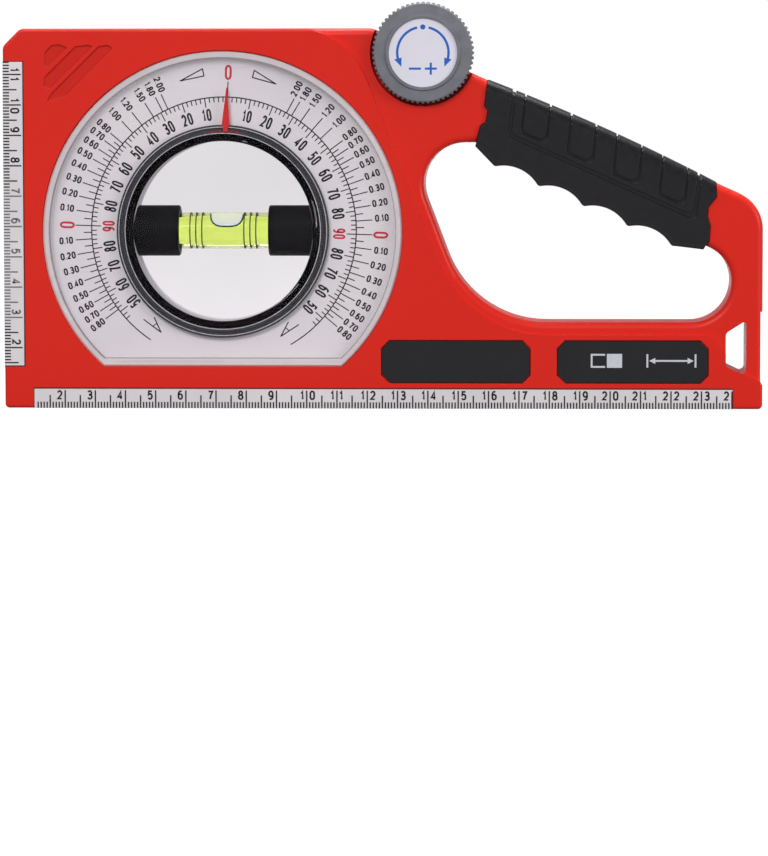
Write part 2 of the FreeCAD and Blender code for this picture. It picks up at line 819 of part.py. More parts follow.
def dial_plate():
    plate = prism(dial_face(dial_radius - cover_side_gap, dial_flat_drop - cover_side_gap, plate_front_y),
                  dial_plate_thickness)
    bore = ring_tube_radius + bezel_float
    return plate.cut(rod(dial_x, dial_z, bore, plate_front_y - overrun, plate_back_y + overrun))


# Turning ring

def vial_ring():
    tube = rod(dial_x, dial_z, ring_tube_radius, tube_front_y, tube_back_y)
    flange = rod(dial_x, dial_z, ring_flange_radius, gear_back_y, flange_back_y)
    ring = tube.fuse(flange)
    ring = ring.cut(rod(dial_x, dial_z, ring_bore_radius, tube_front_y - overrun, tube_back_y + overrun))
    ring = ring.cut(rod(dial_x, dial_z, lens_radius, tube_front_y - overrun, tube_front_y + lens_thickness))
    ring = ring.cut(rod(dial_x, dial_z, lens_radius, back_lens_y, tube_back_y + overrun))
    for screw in ring_screw_places():
        ring = ring.cut(rod(screw[0], screw[1], ring_screw_radius, gear_back_y - overrun, flange_back_y))
    return ring.removeSplitter()


def ring_screw_places():
    places = []
    for number in range(ring_screw_count):
        angle = math.pi / 4 + 2 * math.pi * number / ring_screw_count
        places.append((dial_x + ring_screw_circle * math.cos(angle), dial_z + ring_screw_circle * math.sin(angle)))
    return places


def ring_screws():
    solids = []
    for x, z in ring_screw_places():
        shank = rod(x, z, ring_screw_radius, gear_front_y, flange_back_y)
        head = rod(x, z, ring_screw_head_radius, gear_front_y - ring_screw_head_height, gear_front_y)
        solids.append(shank.fuse(head))
    return Part.Compound(solids)


def ring_gear():
    gear = prism(gear_face(dial_x, dial_z, ring_teeth, ring_phase, gear_front_y), gear_width)
    gear = gear.cut(rod(dial_x, dial_z, ring_tube_radius, gear_front_y - overrun, gear_back_y + overrun))
    for x, z in ring_screw_places():
        gear = gear.cut(rod(x, z, ring_screw_radius, gear_front_y - overrun, gear_back_y + overrun))
    return gear


def ring_bezel():
    bezel = pipe(dial_x, dial_z, bezel_radius, ring_tube_radius, bezel_front_y, bezel_back_y)
    inner = bezel_radius - bezel_lip_width
    sunk = pipe(dial_x, dial_z, inner, ring_tube_radius - overrun, bezel_front_y - overrun,
                bezel_front_y + bezel_lip_height)
    return bezel.cut(sunk)


def lens_retainer():
    ring = pipe(dial_x, dial_z, ring_tube_radius, retainer_inner_radius, bezel_front_y, tube_front_y)
    width = ring_tube_radius - retainer_inner_radius
    middle = (ring_tube_radius + retainer_inner_radius) / 2
    for number in range(retainer_clip_count):
        clip = block(middle - width / 3, middle + width / 3, bezel_front_y - retainer_clip_height,
                     bezel_front_y, -retainer_clip_width / 2, retainer_clip_width / 2)
        clip.rotate(NOWHERE, Y_AXIS, 45 + 360 * number / retainer_clip_count)
        clip.translate(Vec(dial_x, 0, dial_z))
        ring = ring.fuse(clip)
    return ring


def lens(y):
    return rod(dial_x, dial_z, lens_radius - lens_side_gap, y, y + lens_thickness)


def pointer():
    low = bezel_front_y - pointer_thickness
    half = pointer_width / 2
    tail = pointer_tail_width / 2
    tip = pointer_tip_width / 2
    points = [
        (dial_x - tail, dial_z + pointer_tail_radius), (dial_x + tail, dial_z + pointer_tail_radius),
        (dial_x + tail, dial_z + bezel_radius - bezel_lip_width),
        (dial_x + half, dial_z + bezel_radius), (dial_x + tip, dial_z + pointer_tip_radius),
        (dial_x - tip, dial_z + pointer_tip_radius), (dial_x - half, dial_z + bezel_radius),
        (dial_x - tail, dial_z + bezel_radius - bezel_lip_width),
    ]
    needle = prism(plain_face(points, low), pointer_thickness)
    needle.rotate(Vec(dial_x, 0, dial_z), Y_AXIS, pointer_lean)
    return needle


def lying_rod(radius, low_x, high_x):
    # A rod along the vial, through the middle of the turning ring
    return Part.makeCylinder(radius, high_x - low_x, Vec(dial_x + low_x, vial_depth_place, dial_z), Vec(1, 0, 0))


def vial_holder(side):
    low = holder_gap / 2
    solid = lying_rod(holder_radius, low, ring_bore_radius)
    rim = [edge for edge in solid.Edges if edge.BoundBox.XMax < dial_x + low + holder_chamfer]
    solid = solid.makeChamfer(holder_chamfer, rim)
    inside = rod(dial_x, dial_z, ring_bore_radius - vial_seat_gap, front_y, back_y)
    solid = solid.common(inside)
    solid = solid.cut(lying_rod(vial_radius + vial_seat_gap, low - overrun, vial_length / 2 + vial_seat_gap))
    if side < 0:
        solid = solid.mirror(Vec(dial_x, 0, dial_z), Vec(1, 0, 0))
    return solid


def vial_room():
    # The vial is bored barrel-shaped, so that the bubble rises to the middle
    half = vial_length / 2
    inner = vial_radius - vial_wall
    sag = vial_barrel_radius - math.sqrt(vial_barrel_radius ** 2 - half ** 2)
    axis_y = vial_depth_place
    middle = Vec(dial_x, axis_y, dial_z + inner)
    left = Vec(dial_x - half, axis_y, dial_z + inner - sag)
    right = Vec(dial_x + half, axis_y, dial_z + inner - sag)
    foot_left = Vec(dial_x - half, axis_y, dial_z)
    foot_right = Vec(dial_x + half, axis_y, dial_z)
    edges = [
        Part.Arc(left, middle, right).toShape(),
        Part.LineSegment(right, foot_right).toShape(),
        Part.LineSegment(foot_right, foot_left).toShape(),
        Part.LineSegment(foot_left, left).toShape(),
    ]
    return Part.Face(Part.Wire(edges)).revolve(Vec(dial_x, axis_y, dial_z), Vec(1, 0, 0), 360)


def vial_tube():
    half = vial_length / 2
    return lying_rod(vial_radius, -half, half).cut(vial_room())


def vial_liquid():
    inside = vial_length / 2 - vial_plug_length
    return vial_room().common(lying_rod(vial_radius, -inside, inside))


def vial_plug(side):
    half = vial_length / 2
    inside = half - vial_plug_length
    if side > 0:
        return vial_room().common(lying_rod(vial_radius, inside, half))
    return vial_room().common(lying_rod(vial_radius, -half, -inside))


# Gear train and knob

def idler_gear():
    gear = prism(gear_face(idler_x, idler_z, idler_teeth, idler_phase, gear_front_y), gear_width)
    web = idler_pitch_radius - idler_web_inset
    for low, high in ((gear_front_y, gear_front_y + idler_web_depth), (gear_back_y - idler_web_depth, gear_back_y)):
        gear = gear.cut(pipe(idler_x, idler_z, web, idler_hub_radius, low, high))
    gear = gear.fuse(rod(idler_x, idler_z, idler_hub_radius, gear_back_y, gear_back_y + idler_hub_height))
    bore = idler_pin_radius + running_clearance
    return gear.cut(rod(idler_x, idler_z, bore, gear_front_y - overrun, gear_back_y + overrun))


def idler_pin():
    return rod(idler_x, idler_z, idler_pin_radius, idler_pin_front_y, collar_front_y + idler_pin_seat)


def pinion():
    gear = prism(gear_face(knob_x, knob_z, pinion_teeth, pinion_phase, gear_front_y), gear_width)
    return gear.cut(rod(knob_x, knob_z, shaft_radius, gear_front_y - overrun, gear_back_y + overrun))


def knob_bush():
    flange_low = knob_floor_y - bush_flange_thickness
    bush = rod(knob_x, knob_z, bush_radius, flange_low, gear_floor_y)
    bush = bush.fuse(rod(knob_x, knob_z, bush_flange_radius, flange_low, knob_floor_y))
    return bush.cut(rod(knob_x, knob_z, shaft_radius + running_clearance, flange_low - overrun, overrun))


def knob_shaft():
    top = knob_screw_seat_y()
    shaft = rod(knob_x, knob_z, shaft_radius, top, cavity_back_y - thrust_gap)
    return shaft.cut(rod(knob_x, knob_z, knob_screw_radius, top - overrun, top + knob_screw_length))


def knob_screw_seat_y():
    return knob_front_y + knob_rim_height + label_thickness + knob_screw_head_height


def knob_face(y):
    # A fine row of grip teeth round the edge
    points = []
    step = 2 * math.pi / knob_tooth_count
    low = knob_radius - knob_tooth_height
    for tooth in range(knob_tooth_count):
        middle = tooth * step
        for part, height in knob_tooth_shares:
            radius = low + height * knob_tooth_height
            angle = middle + part * step
            points.append((knob_x + radius * math.cos(angle), knob_z + radius * math.sin(angle)))
    return plain_face(points, y)


def knob():
    solid = prism(knob_face(knob_front_y + knob_rim_height), knob_thickness - knob_rim_height)
    cone_radius = knob_radius + knob_thickness - knob_edge_chamfer
    front = Part.makeCone(knob_radius - knob_edge_chamfer, cone_radius, knob_thickness,
                          Vec(knob_x, knob_front_y + knob_rim_height, knob_z), Y_AXIS)
    solid = solid.common(front)
    rim_back_y = knob_front_y + knob_rim_height
    rim = Part.makeCone(knob_rim_radius - knob_rim_height / 2, knob_rim_radius, knob_rim_height,
                        Vec(knob_x, knob_front_y, knob_z), Y_AXIS)
    solid = solid.fuse(rim)
    solid = solid.cut(rod(knob_x, knob_z, label_radius, knob_front_y - overrun, rim_back_y + label_thickness))
    seat = knob_screw_seat_y()
    solid = solid.cut(rod(knob_x, knob_z, knob_screw_head_radius + screw_hole_gap, knob_front_y - overrun, seat))
    solid = solid.cut(rod(knob_x, knob_z, shaft_radius, seat, knob_back_y + overrun))
    hollow_room = pipe(knob_x, knob_z, knob_radius - wall, bush_flange_radius + wall,
                       seat + wall, knob_back_y + overrun)
    return solid.cut(hollow_room)


def knob_label():
    low = knob_front_y + knob_rim_height
    return rod(knob_x, knob_z, label_radius - lens_side_gap, low, low + label_thickness)


def knob_screw():
    seat = knob_screw_seat_y()
    head = rod(knob_x, knob_z, knob_screw_head_radius, seat - knob_screw_head_height, seat)
    shank = rod(knob_x, knob_z, knob_screw_radius, seat, seat + knob_screw_length)
    return head.fuse(shank)


# Rulers, plates and fasteners

def base_ruler():
    half = base_ruler_length / 2
    return block(-half, half, front_y, front_y + ruler_thickness, 0, base_ruler_height)


def side_ruler():
    return block(-half_length, -half_length + side_ruler_width, front_y, front_y + ruler_thickness,
                 side_ruler_low, side_ruler_low + side_ruler_length)


def plate_face(start, length, extra, y):
    # Cut corners at the ends, as on the sunk seats of the plates
    low_x = start - extra
    high_x = start + length + extra
    low_z = plate_low - extra
    high_z = plate_low + plate_height + extra
    cut = plate_chamfer
    points = [(low_x + cut, low_z), (high_x - cut, low_z), (high_x, low_z + cut), (high_x, high_z - cut),
              (high_x - cut, high_z), (low_x + cut, high_z), (low_x, high_z - cut), (low_x, low_z + cut)]
    return plain_face(points, y)


def name_plate(start, length):
    return prism(plate_face(start, length, 0, front_y + plate_sink), plate_thickness)


def base_magnets():
    solids = []
    for share in magnet_place_shares:
        solids.append(Part.makeCylinder(magnet_radius, magnet_height, Vec(share * body_length, 0, magnet_sink)))
    return Part.Compound(solids)


def case_screws():
    solids = []
    head_high = back_y - screw_head_sink
    head_low = head_high - screw_head_height
    for place_x, place_z in screw_places():
        screw = rod(place_x, place_z, screw_radius, head_low - screw_length, head_low)
        screw = screw.fuse(rod(place_x, place_z, screw_head_radius, head_low, head_high))
        half = screw_slot_width / 2
        reach = screw_head_radius * screw_slot_reach_share
        for wide, tall in ((reach, half), (half, reach)):
            screw = screw.cut(block(place_x - wide, place_x + wide, head_high - screw_slot_depth,
                                    head_high + overrun, place_z - tall, place_z + tall))
        solids.append(screw)
    return Part.Compound(solids)


pieces = {
    "front_shell": front_shell(),
    "rear_shell": rear_shell(),
    "handle_grip": handle_grip(),
    "dial_cover": dial_cover(),
    "dial_plate": dial_plate(),
    "vial_ring": vial_ring(),
    "ring_bezel": ring_bezel(),
    "lens_retainer": lens_retainer(),
    "front_lens": lens(front_lens_y),
    "rear_lens": lens(back_lens_y),
    "pointer": pointer(),
    "ring_gear": ring_gear(),
    "ring_screws": ring_screws(),
    "vial_holder_left": vial_holder(-1),
    "vial_holder_right": vial_holder(1),
    "vial_tube": vial_tube(),
    "vial_liquid": vial_liquid(),
    "vial_plug_left": vial_plug(-1),
    "vial_plug_right": vial_plug(1),
    "idler_gear": idler_gear(),
    "idler_pin": idler_pin(),
    "knob_pinion": pinion(),
    "knob_bush": knob_bush(),
    "knob_shaft": knob_shaft(),
    "knob": knob(),
    "knob_label": knob_label(),
    "knob_screw": knob_screw(),
    "base_ruler": base_ruler(),
    "side_ruler": side_ruler(),
    "name_plate_left": name_plate(left_plate_start, left_plate_length),
    "name_plate_right": name_plate(right_plate_start, right_plate_length),
    "base_magnets": base_magnets(),
    "case_screws": case_screws(),
}

for name, shape in pieces.items():
    shape.exportStep("parts/" + name + ".step")
    print(name, len(shape.Solids), round(shape.Volume, 1), shape.isValid())
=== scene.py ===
import bpy
import bmesh
import math
from mathutils import Matrix, Vector


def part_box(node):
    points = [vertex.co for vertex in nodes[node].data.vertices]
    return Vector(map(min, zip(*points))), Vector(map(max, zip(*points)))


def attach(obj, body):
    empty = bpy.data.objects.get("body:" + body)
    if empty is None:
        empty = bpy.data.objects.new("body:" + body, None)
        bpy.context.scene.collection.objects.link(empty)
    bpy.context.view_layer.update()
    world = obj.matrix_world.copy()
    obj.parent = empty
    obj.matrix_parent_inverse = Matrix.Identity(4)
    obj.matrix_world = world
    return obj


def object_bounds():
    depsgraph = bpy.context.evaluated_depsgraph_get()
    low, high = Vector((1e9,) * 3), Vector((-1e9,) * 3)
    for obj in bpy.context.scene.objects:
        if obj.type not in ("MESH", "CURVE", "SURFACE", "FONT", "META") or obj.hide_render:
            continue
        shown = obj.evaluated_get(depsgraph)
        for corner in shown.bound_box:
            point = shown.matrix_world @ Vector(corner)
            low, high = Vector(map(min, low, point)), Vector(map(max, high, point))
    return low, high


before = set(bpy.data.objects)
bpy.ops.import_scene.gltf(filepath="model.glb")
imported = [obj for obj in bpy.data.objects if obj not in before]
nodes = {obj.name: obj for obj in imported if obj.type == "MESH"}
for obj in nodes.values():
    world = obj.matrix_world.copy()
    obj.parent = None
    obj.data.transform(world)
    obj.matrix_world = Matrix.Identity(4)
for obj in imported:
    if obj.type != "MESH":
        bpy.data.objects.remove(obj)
cadLow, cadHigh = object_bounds()
mm = 0.001
print("frame loaded with", len(nodes), "nodes")


def rgb(red, green, blue):
    # screen colour, 0 to 255, as the linear colour a shader wants
    linear = [((c / 255 + 0.055) / 1.055) ** 2.4 if c > 10 else c / 3294 for c in (red, green, blue)]
    return (linear[0], linear[1], linear[2], 1.0)


# Camera and stage
camera = {
    "place": (0.060, -1.450, 0.108),
    "aim": (0.0, 0.0, -0.0074),
    "lens": 183.95,
    "roll": -0.06,
    "sensor": 36.0,
    "reach": 20.0,
}


def makeCamera(settings):
    lens = bpy.data.cameras.new("camera")
    lens.lens = settings["lens"]
    lens.sensor_fit = "VERTICAL"
    lens.sensor_height = settings["sensor"]
    lens.clip_end = settings["reach"]
    holder = bpy.data.objects.new("camera", lens)
    bpy.context.scene.collection.objects.link(holder)
    holder.location = settings["place"]
    away = Vector(settings["aim"]) - Vector(settings["place"])
    roll = Matrix.Rotation(math.radians(settings["roll"]), 3, "Z")
    turn = away.to_track_quat("-Z", "Y").to_matrix() @ roll
    holder.rotation_euler = turn.to_euler()
    bpy.context.scene.camera = holder


makeCamera(camera)

studio = {
    "worldStrength": 0.52,
    "floorColour": (0.12, 0.12, 0.122, 1.0),
    "floorGlow": 0.94,
    "floorSize": 60.0,
    "lampAim": (0.0, 0.0, 0.06),
    "lamps": {
        "keyLamp": {"place": (-0.6, -1.9, 1.25), "size": 0.8, "power": 24.5},
        "fillLamp": {"place": (1.7, -1.0, 0.5), "size": 0.7, "power": 14.0},
        "topLamp": {"place": (0.1, 0.3, 1.6), "size": 0.9, "power": 27.0},
    },
}


def calc(tree, operation, *values):
    # the result of a math node; each value is a number or another node's output
    made = tree.nodes.new("ShaderNodeMath")
    made.operation = operation
    for number, value in enumerate(values):
        if isinstance(value, float):
            made.inputs[number].default_value = value
        else:
            tree.links.new(value, made.inputs[number])
    return made.outputs[0]


def seenDirectly(tree):
    # one for rays that come from the camera, a mirror or clear plastic
    path = tree.nodes.new("ShaderNodeLightPath").outputs
    rays = calc(tree, "ADD", path["Is Camera Ray"], path["Is Glossy Ray"])
    rays = calc(tree, "ADD", rays, path["Is Transmission Ray"])
    rays.node.use_clamp = True
    return rays


def makeWorld(settings):
    world = bpy.data.worlds.new("studio")
    bpy.context.scene.world = world
    world.use_nodes = True
    tree = world.node_tree
    tree.nodes.clear()
    soft = tree.nodes.new("ShaderNodeBackground")
    soft.inputs["Strength"].default_value = settings["worldStrength"]
    white = tree.nodes.new("ShaderNodeBackground")
    white.inputs["Strength"].default_value = 1.0
    for background in (soft, white):
        background.inputs["Color"].default_value = (1.0, 1.0, 1.0, 1.0)
    path = tree.nodes.new("ShaderNodeLightPath")
    mix = tree.nodes.new("ShaderNodeMixShader")
    tree.links.new(path.outputs["Is Camera Ray"], mix.inputs[0])
    tree.links.new(soft.outputs[0], mix.inputs[1])
    tree.links.new(white.outputs[0], mix.inputs[2])
    out = tree.nodes.new("ShaderNodeOutputWorld")
    tree.links.new(mix.outputs[0], out.inputs[0])


def makeFloor(settings):
    half = settings["floorSize"] / 2
    mesh = bpy.data.meshes.new("floor")
    corners = [(-half, -half, 0), (half, -half, 0), (half, half, 0), (-half, half, 0)]
    mesh.from_pydata(corners, [], [(0, 1, 2, 3)])
    floor = bpy.data.objects.new("floor", mesh)
    bpy.context.scene.collection.objects.link(floor)
    material = bpy.data.materials.new("floorPaper")
    material.use_nodes = True
    tree = material.node_tree
    tree.nodes.clear()
    paper = tree.nodes.new("ShaderNodeBsdfDiffuse")
    paper.inputs["Color"].default_value = settings["floorColour"]
    glow = tree.nodes.new("ShaderNodeEmission")
    strength = calc(tree, "MULTIPLY", seenDirectly(tree), settings["floorGlow"])
    tree.links.new(strength, glow.inputs["Strength"])
    both = tree.nodes.new("ShaderNodeAddShader")
    tree.links.new(paper.outputs[0], both.inputs[0])
    tree.links.new(glow.outputs[0], both.inputs[1])
    out = tree.nodes.new("ShaderNodeOutputMaterial")
    tree.links.new(both.outputs[0], out.inputs[0])
    mesh.materials.append(material)


def makeLamps(settings):
    for name, lamp in settings["lamps"].items():
        light = bpy.data.lights.new(name, "AREA")
        light.shape = "SQUARE"
        light.size = lamp["size"]
        light.energy = lamp["power"]
        holder = bpy.data.objects.new(name, light)
        bpy.context.scene.collection.objects.link(holder)
        holder.location = lamp["place"]
        away = Vector(settings["lampAim"]) - Vector(lamp["place"])
        holder.rotation_euler = away.to_track_quat("-Z", "Y").to_euler()


makeWorld(studio)
makeFloor(studio)
makeLamps(studio)
bpy.context.scene.view_settings.view_transform = "Standard"
print("camera, floor and lamps ready")


# Materials
def addNode(tree, kind, values=None, links=None):
    # values and links are given by the socket's name or number
    made = tree.nodes.new(kind)
    for socket, value in (values or {}).items():
        made.inputs[socket].default_value = value
    for socket, source in (links or {}).items():
        tree.links.new(source, made.inputs[socket])
    return made


def startMaterial(name):
    material = bpy.data.materials.new(name)
    material.use_nodes = True
    tree = material.node_tree
    place = addNode(tree, "ShaderNodeTexCoord").outputs["Object"]
    return material, tree, tree.nodes["Principled BSDF"], place


def noise(tree, place, scale, detail=3.0, rough=0.5):
    values = {"Scale": scale, "Detail": detail, "Roughness": rough}
    return addNode(tree, "ShaderNodeTexNoise", values, {"Vector": place}).outputs["Fac"]


def between(tree, factor, low, high):
    # most noise lies in the middle of its range
    values = {"From Min": 0.3, "From Max": 0.7, "To Min": low, "To Max": high}
    return addNode(tree, "ShaderNodeMapRange", values, {"Value": factor}).outputs[0]


def blend(tree, factor, first, second):
    mix = addNode(tree, "ShaderNodeMix")
    mix.data_type = "RGBA"
    for socket, colour in ((6, first), (7, second)):
        if isinstance(colour, tuple):
            mix.inputs[socket].default_value = colour
        else:
            tree.links.new(colour, mix.inputs[socket])
    tree.links.new(factor, mix.inputs[0])
    return mix.outputs[2]


def mixShaders(tree, share, first, second):
    return addNode(tree, "ShaderNodeMixShader", None, {0: share, 1: first, 2: second}).outputs[0]


def grain(tree, shader, height, strength, distance, edge=0.0):
    # fine relief, on edges that are rounded a little
    bump = addNode(tree, "ShaderNodeBump", {"Strength": strength, "Distance": distance},
                   {"Height": height})
    if edge > 0:
        rounded = addNode(tree, "ShaderNodeBevel", {"Radius": edge})
        tree.links.new(rounded.outputs[0], bump.inputs["Normal"])
    tree.links.new(bump.outputs[0], shader.inputs["Normal"])


def plasticMaterial(name, settings):
    material, tree, shader, place = startMaterial(name)
    cloudy = noise(tree, place, settings["cloudScale"])
    tone = blend(tree, between(tree, cloudy, 0.0, 1.0), settings["colour"], settings["shade"])
    tree.links.new(tone, shader.inputs["Base Color"])
    mottle = noise(tree, place, settings["grainScale"] / 6)
    middle, spread = settings["rough"], settings["roughSpread"]
    rough = between(tree, mottle, middle - spread, middle + spread)
    tree.links.new(rough, shader.inputs["Roughness"])
    shader.inputs["Metallic"].default_value = settings.get("metal", 0.0)
    shader.inputs["Specular IOR Level"].default_value = settings.get("specular", 0.5)
    fine = noise(tree, place, settings["grainScale"], 4.0, 0.6)
    depth = settings.get("reliefDepth", 0.0001)
    grain(tree, shader, fine, settings["relief"], depth, settings.get("edge", 0.0))
    return material


caseRed = {
    "colour": rgb(221, 36, 22), "shade": rgb(214, 32, 18), "cloudScale": 9.0, "grainScale": 1500.0,
    "rough": 0.36, "roughSpread": 0.05, "relief": 0.10, "edge": 0.0004, "specular": 0.22,
}
gripRubber = {
    "colour": rgb(12, 12, 17), "shade": rgb(9, 9, 13), "cloudScale": 60.0, "grainScale": 2600.0,
    "rough": 0.34, "roughSpread": 0.06, "relief": 0.12, "edge": 0.0005, "specular": 0.27,
}
dialSilver = {
    "colour": rgb(227, 221, 225), "shade": rgb(221, 215, 220), "cloudScale": 30.0, "grainScale": 3000.0,
    "rough": 0.42, "roughSpread": 0.04, "relief": 0.05, "metal": 0.15, "specular": 0.4,
}
rulerMetal = {
    "colour": rgb(222, 217, 220), "shade": rgb(212, 207, 210), "cloudScale": 40.0, "grainScale": 2500.0,
    "rough": 0.38, "roughSpread": 0.06, "relief": 0.06, "metal": 0.25, "edge": 0.00015, "specular": 0.35,
}
plateBlack = {
    "colour": rgb(23, 22, 27), "shade": rgb(19, 19, 23), "cloudScale": 80.0, "grainScale": 1800.0,
    "rough": 0.45, "roughSpread": 0.05, "relief": 0.15, "edge": 0.0002, "specular": 0.22,
}
ringBlack = {
    "colour": rgb(14, 13, 16), "shade": rgb(18, 17, 20), "cloudScale": 50.0, "grainScale": 900.0,
    "rough": 0.46, "roughSpread": 0.05, "relief": 0.0, "edge": 0.0002, "specular": 0.05,
}
retainerGrey = {
    "colour": rgb(58, 58, 63), "shade": rgb(50, 50, 55), "cloudScale": 60.0, "grainScale": 1200.0,
    "rough": 0.30, "roughSpread": 0.05, "relief": 0.05, "edge": 0.0002, "specular": 0.25,
}
pointerRed = {
    "colour": rgb(214, 32, 38), "shade": rgb(200, 26, 34), "cloudScale": 90.0, "grainScale": 2000.0,
    "rough": 0.40, "roughSpread": 0.05, "relief": 0.05, "edge": 0.0002, "specular": 0.3,
}
knobGrey = {
    "colour": rgb(116, 116, 124), "shade": rgb(102, 102, 110), "cloudScale": 220.0, "grainScale": 1100.0,
    "rough": 0.50, "roughSpread": 0.08, "relief": 0.55, "reliefDepth": 0.00015, "edge": 0.0003,
    "specular": 0.4,
}
labelSilver = {
    "colour": rgb(226, 223, 236), "shade": rgb(220, 217, 230), "cloudScale": 60.0, "grainScale": 2500.0,
    "rough": 0.42, "roughSpread": 0.05, "relief": 0.04, "specular": 0.3,
}
gearWhite = {
    "colour": rgb(235, 234, 226), "shade": rgb(226, 225, 214), "cloudScale": 70.0, "grainScale": 1500.0,
    "rough": 0.45, "roughSpread": 0.05, "relief": 0.08, "edge": 0.00015,
}
turnedSteel = {
    "colour": rgb(186, 187, 190), "shade": rgb(170, 171, 175), "cloudScale": 150.0, "grainScale": 4000.0,
    "rough": 0.30, "roughSpread": 0.06, "relief": 0.08, "metal": 0.95, "edge": 0.00015,
}
blackSteel = {
    "colour": rgb(72, 72, 75), "shade": rgb(58, 58, 61), "cloudScale": 200.0, "grainScale": 3000.0,
    "rough": 0.38, "roughSpread": 0.06, "relief": 0.12, "metal": 0.85, "edge": 0.0002,
}
turnedBrass = {
    "colour": rgb(205, 168, 92), "shade": rgb(190, 150, 78), "cloudScale": 150.0, "grainScale": 3500.0,
    "rough": 0.30, "roughSpread": 0.06, "relief": 0.08, "metal": 0.95, "edge": 0.00015,
}
magnetPlate = {
    "colour": rgb(205, 205, 210), "shade": rgb(190, 190, 196), "cloudScale": 120.0, "grainScale": 3500.0,
    "rough": 0.20, "roughSpread": 0.05, "relief": 0.05, "metal": 0.95, "edge": 0.0002,
}


# painted shade: a darker red on the floor of the three sunk marks, where shade falls in the recess
sunkMarkShade = {"left": -0.1235, "right": -0.085, "bottom": 0.092, "top": 0.1225, "under": 0.0001,
             "tone": rgb(203, 29, 15)}


def within(tree, value, low, high):
    # one where the value lies between low and high
    return calc(tree, "COMPARE", value, (low + high) / 2, (high - low) / 2)


def makeCaseMaterial(settings, marks):
    # satin plastic; the floor of the sunk marks is darkened with painted shade
    material = plasticMaterial("caseRed", settings)
    tree = material.node_tree
    colour = tree.nodes["Principled BSDF"].inputs["Base Color"]
    tone = colour.links[0].from_socket
    place = addNode(tree, "ShaderNodeTexCoord").outputs["Object"]
    split = addNode(tree, "ShaderNodeSeparateXYZ", None, {0: place}).outputs
    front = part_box("front_shell")[0].y
    inside = within(tree, split["X"], marks["left"], marks["right"])
    for axis, low, high in (("Z", marks["bottom"], marks["top"]), ("Y", front + marks["under"], 0.0)):
        inside = calc(tree, "MULTIPLY", inside, within(tree, split[axis], low, high))
    tree.links.new(blend(tree, inside, tone, marks["tone"]), colour)
    return material


printedInk = {"cloudScale": 700.0, "grainScale": 4000.0, "rough": 0.5, "roughSpread": 0.04,
              "relief": 0.05, "specular": 0.3}


def inkMaterial(name, colour, shade):
    return plasticMaterial(name, {"colour": colour, "shade": shade, **printedInk})


sheetGloss = {"rough": 0.04, "bend": 1.45}


def clearSheet(name, tint, haze):
    # clear plastic with flat faces: light goes straight through, and the faces mirror a little
    material, tree, shader, place = startMaterial(name)
    tree.nodes.remove(shader)
    streaks = noise(tree, place, haze["scale"], 2.0)
    tone = blend(tree, between(tree, streaks, 0.0, 1.0), tint, haze["tint"])
    through = addNode(tree, "ShaderNodeBsdfTransparent", None, {"Color": tone})
    mirror = addNode(tree, "ShaderNodeBsdfGlossy", {"Roughness": sheetGloss["rough"]})
    tilt = addNode(tree, "ShaderNodeFresnel", {"IOR": sheetGloss["bend"]})
    share = calc(tree, "MULTIPLY", tilt.outputs[0], haze["mirror"])
    sheet = mixShaders(tree, share, through.outputs[0], mirror.outputs[0])
    tree.links.new(sheet, tree.nodes["Material Output"].inputs[0])
    return material, tree, sheet, place


materials = {"caseRed": makeCaseMaterial(caseRed, sunkMarkShade)}
plastics = {
    "gripRubber": gripRubber, "dialSilver": dialSilver, "rulerMetal": rulerMetal, "plateBlack": plateBlack,
    "ringBlack": ringBlack, "retainerGrey": retainerGrey, "pointerRed": pointerRed, "knobGrey": knobGrey,
    "labelSilver": labelSilver, "gearWhite": gearWhite, "turnedSteel": turnedSteel,
    "blackSteel": blackSteel, "turnedBrass": turnedBrass, "magnetPlate": magnetPlate,
}
for name, settings in plastics.items():
    materials[name] = plasticMaterial(name, settings)
inks = {
    "inkBlack": (rgb(18, 17, 20), rgb(28, 26, 30)),
    "inkFaded": (rgb(96, 93, 97), rgb(120, 117, 121)),
    "inkRed": (rgb(205, 58, 78), rgb(196, 50, 70)),
    "inkBlue": (rgb(35, 100, 190), rgb(30, 92, 182)),
    "inkWhite": (rgb(205, 207, 214), rgb(196, 198, 206)),
    "inkOlive": (rgb(70, 84, 30), rgb(60, 74, 24)),
    "bubbleGreen": (rgb(20, 104, 62), rgb(16, 92, 50)),
    # painted highlight for the lens retainer's edges
    "edgeHighlightPale": (rgb(214, 210, 216), rgb(170, 166, 172)),
    # painted reflection of the needle on the retainer, bright near it and fainter further out
    "reflectionRed": (rgb(126, 34, 46), rgb(118, 30, 42)),
    "reflectionFaint": (rgb(84, 52, 58), rgb(78, 48, 54)),
    # painted shade, for the dark lines along the rulers' edges
    "shadeLineRed": (rgb(92, 22, 18), rgb(74, 16, 13)),
}
for name, (colour, shade) in inks.items():
    materials[name] = inkMaterial(name, colour, shade)

dialLow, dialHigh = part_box("dial_cover")
dialRadius = (dialHigh.x - dialLow.x) / 2
dialX = (dialHigh.x + dialLow.x) / 2
dialZ = dialHigh.z - dialRadius
coverRim = {
    "glass": (1.0, 0.998, 1.0, 1.0),
    "haze": {"scale": 20.0, "tint": (0.985, 0.983, 0.988, 1.0), "mirror": 0.10},
    "band": 2.1 * mm, "line": 0.18 * mm, "flatBand": 2.7 * mm, "brinkHighlight": 0.4 * mm,
    "milk": 0.80, "milkColour": rgb(226, 216, 219), "milkRough": 0.18, "milkBend": 1.49,
    "lineShare": 0.6, "lineColour": rgb(150, 146, 152),
}


